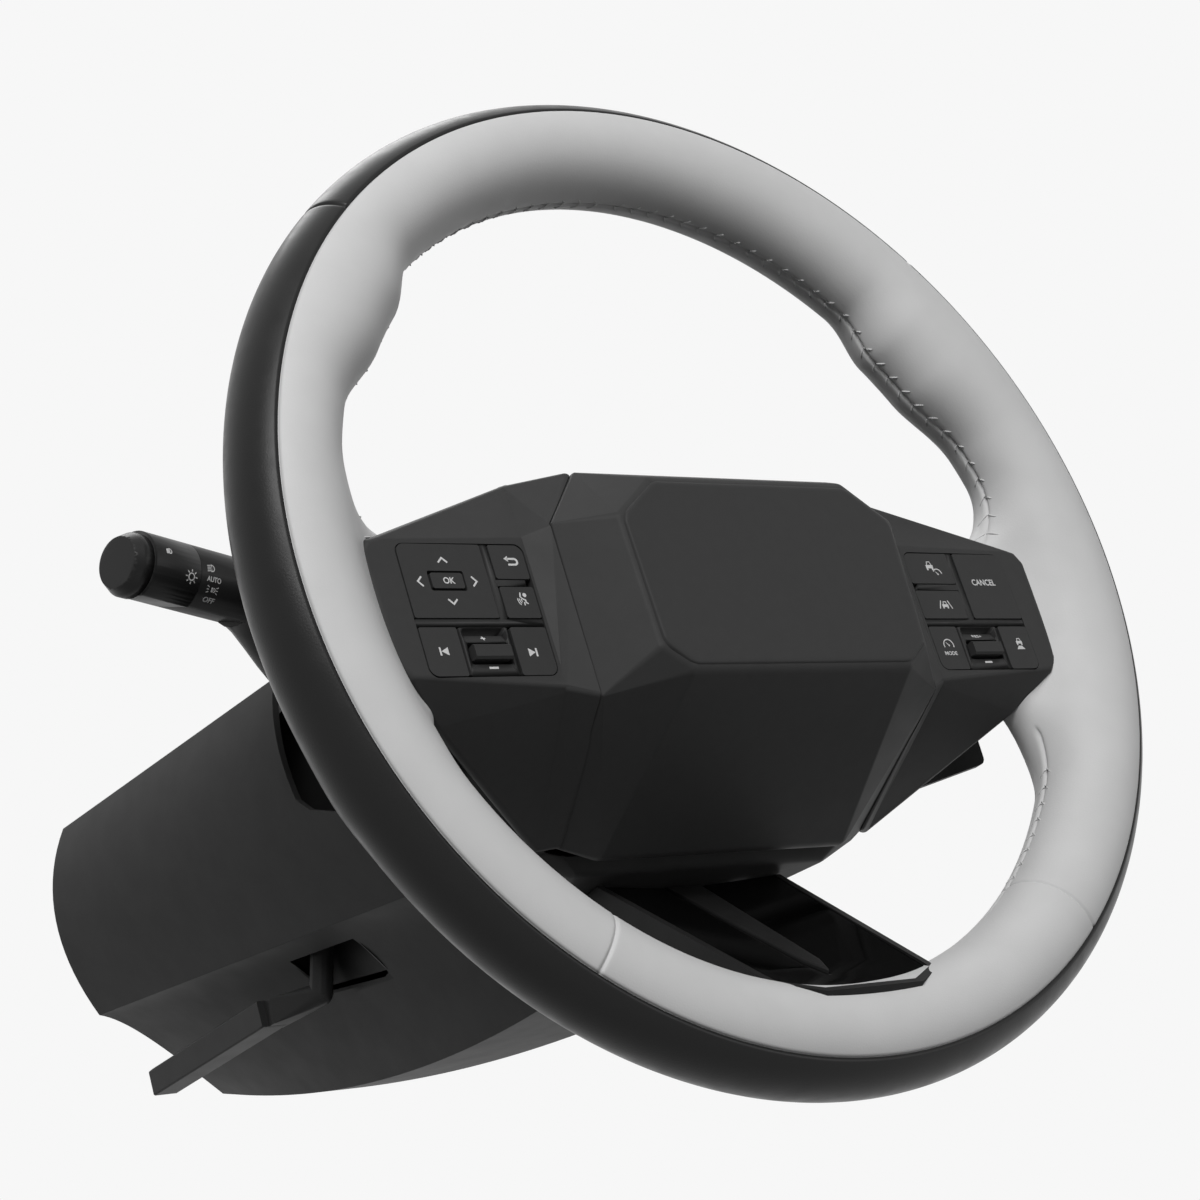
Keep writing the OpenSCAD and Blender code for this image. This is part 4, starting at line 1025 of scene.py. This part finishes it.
def stalk_prints():
    place = on_stalk(-1, STALK_R)
    printed("lamp_print", headlamp(-27.2, 1.8, 0.95, 5), "light_knob", place)
    printed("dial_print", sun(-17.3, -5.4, 1.25), "light_knob", place)
    marks = headlamp(-8.7, -0.5, 1.25, 4) + letters("AUTO", 1.9, 6.3, -7.2, -4.4)
    marks += side_lights(-7.1, -8.0) + letters("OFF", 2.1, 5.0, -6.9, -11.8)
    printed("light_scale_print", marks, "left_stalk", place)


# ---------------------------------------------------------------- CAD nodes that are shown as they are
# Bevel width of each shown node's edges, in mm. The rest only get smooth shading
BEVEL = {
    "spoke_tray": 0.5, "spoke_panels": 0.5, "spoke_fin": 0.6, "tilt_lever": 1.2, "left_paddle": 0.8,
    "right_paddle": 0.8, "mounting_bracket": 0.6, "nav_gimbal": 0.15, "nav_pad": 0.25, "ok_key": 0.2,
    "volume_toggle": 0.5, "speed_toggle": 0.5,
}
for key in ("back", "voice", "previous", "next", "cruise", "lane", "cancel", "mode", "distance"):
    BEVEL[key + "_key"] = 0.25


def dress_nodes():
    for name, node in NODES.items():
        node.data.materials.clear()
        node.data.materials.append(FINISH[SLOT_OF[name]])
        weld = node.modifiers.new("weld", "WELD")
        weld.merge_threshold = 2e-6
        shade(node.data, 32)
        if name in BEVEL:
            bevelled(node, BEVEL[name])
        weighted(node)


# ---------------------------------------------------------------- stage
def soft_light(name, place, size, power, aim):
    lamp = bpy.data.lights.new(name, "AREA")
    lamp.shape = "DISK"
    lamp.size = size
    lamp.energy = power
    light = bpy.data.objects.new(name, lamp)
    bpy.context.scene.collection.objects.link(light)
    light.location = place
    light.rotation_euler = (Vector(aim) - Vector(place)).to_track_quat("-Z", "Y").to_euler()


BACKDROP = 0.93
AMBIENT = 0.05
LOOK_AT = Vector((0, -0.30, 0.08))
FLOOR_HALF, FLOOR_LOW, FLOOR_GREY, FLOOR_SHARE = 1.15, -0.62, 0.2, 0.92


def seen_directly(tree):
    """1 for the camera's rays and for reflections and refractions, otherwise 0."""
    rays = tree.nodes.new("ShaderNodeLightPath")
    total = rays.outputs["Is Camera Ray"]
    for name in ("Is Glossy Ray", "Is Transmission Ray"):
        add = tree.nodes.new("ShaderNodeMath")
        add.operation = "MAXIMUM"
        tree.links.new(total, add.inputs[0])
        tree.links.new(rays.outputs[name], add.inputs[1])
        total = add.outputs[0]
    return total


def world():
    w = bpy.data.worlds.new("studio")
    bpy.context.scene.world = w
    w.use_nodes = True
    tree = w.node_tree
    back = tree.nodes["Background"]
    mix = tree.nodes.new("ShaderNodeMix")
    mix.inputs["A"].default_value = AMBIENT
    mix.inputs["B"].default_value = BACKDROP
    tree.links.new(seen_directly(tree), mix.inputs["Factor"])
    back.inputs["Color"].default_value = (1, 1, 1, 1)
    tree.links.new(mix.outputs["Result"], back.inputs["Strength"])


def floor():
    """A pale floor that shows as the backdrop does and still takes the object's shadow."""
    m = bpy.data.materials.new("floor")
    m.use_nodes = True
    tree = m.node_tree
    glow = tree.nodes.new("ShaderNodeEmission")
    glow.inputs["Strength"].default_value = BACKDROP
    share = tree.nodes.new("ShaderNodeMath")
    share.operation = "MULTIPLY"
    share.inputs[1].default_value = FLOOR_SHARE
    tree.links.new(seen_directly(tree), share.inputs[0])
    mix = tree.nodes.new("ShaderNodeMixShader")
    plain = tree.nodes["Principled BSDF"]
    plain.inputs["Base Color"].default_value = (FLOOR_GREY, FLOOR_GREY, FLOOR_GREY, 1)
    plain.inputs["Roughness"].default_value = 0.9
    tree.links.new(share.outputs[0], mix.inputs["Fac"])
    tree.links.new(plain.outputs["BSDF"], mix.inputs[1])
    tree.links.new(glow.outputs["Emission"], mix.inputs[2])
    tree.links.new(mix.outputs["Shader"], tree.nodes["Material Output"].inputs["Surface"])
    mesh = bpy.data.meshes.new("floor")
    h = FLOOR_HALF
    corners = [(x, y, FLOOR_LOW) for x, y in ((-h, -h), (h, -h), (h, h), (-h, h))]
    mesh.from_pydata(corners, [], [(0, 1, 2, 3)])
    mesh.materials.append(m)
    ground = bpy.data.objects.new("floor", mesh)
    bpy.context.scene.collection.objects.link(ground)


# The camera's direction in degrees, its distance and offsets in metres, and its lens in mm
CAMERA_TURN, CAMERA_LIFT = 36.83, -0.44
CAMERA_BACK, CAMERA_ASIDE, CAMERA_DOWN = 0.9682, 0.04043, 0.00863
LENS = 85.09


def camera():
    a, e = radians(CAMERA_TURN), radians(CAMERA_LIFT)
    depth = Vector((sin(a) * cos(e), cos(a) * cos(e), -sin(e)))
    right = Vector((cos(a), -sin(a), 0))
    up = right.cross(depth)
    data = bpy.data.cameras.new("camera")
    data.lens = LENS
    cam = bpy.data.objects.new("camera", data)
    bpy.context.scene.collection.objects.link(cam)
    centre = WHEEL @ Vector((0, 0, 0))
    place = centre - CAMERA_ASIDE * right - CAMERA_DOWN * up - CAMERA_BACK * depth
    cam.matrix_world = Matrix.Translation(place) @ Matrix((right, up, -depth)).transposed().to_4x4()
    bpy.context.scene.camera = cam


def lights():
    soft_light("key", (-1.1, -1.3, 1.8), 1.5, 44, LOOK_AT)
    soft_light("fill", (1.0, -2.1, 0.6), 1.4, 7, LOOK_AT)
    soft_light("rim", (0.4, 1.2, 1.4), 1.0, 8, LOOK_AT)


dress_nodes()
rim_leather()
stitches()
airbag_cover()
bezel(-1)
bezel(1)
shroud("upper_shroud_skin", upper_half, "upper_shroud", "trim_plastic")
shroud("lower_shroud_skin", lower_half, "lower_shroud", "trim_plastic")
window_liner(-1)
window_liner(1)
key_prints()
stalk_prints()
world()
floor()
lights()
camera()
bpy.context.scene.view_settings.view_transform = "Standard"
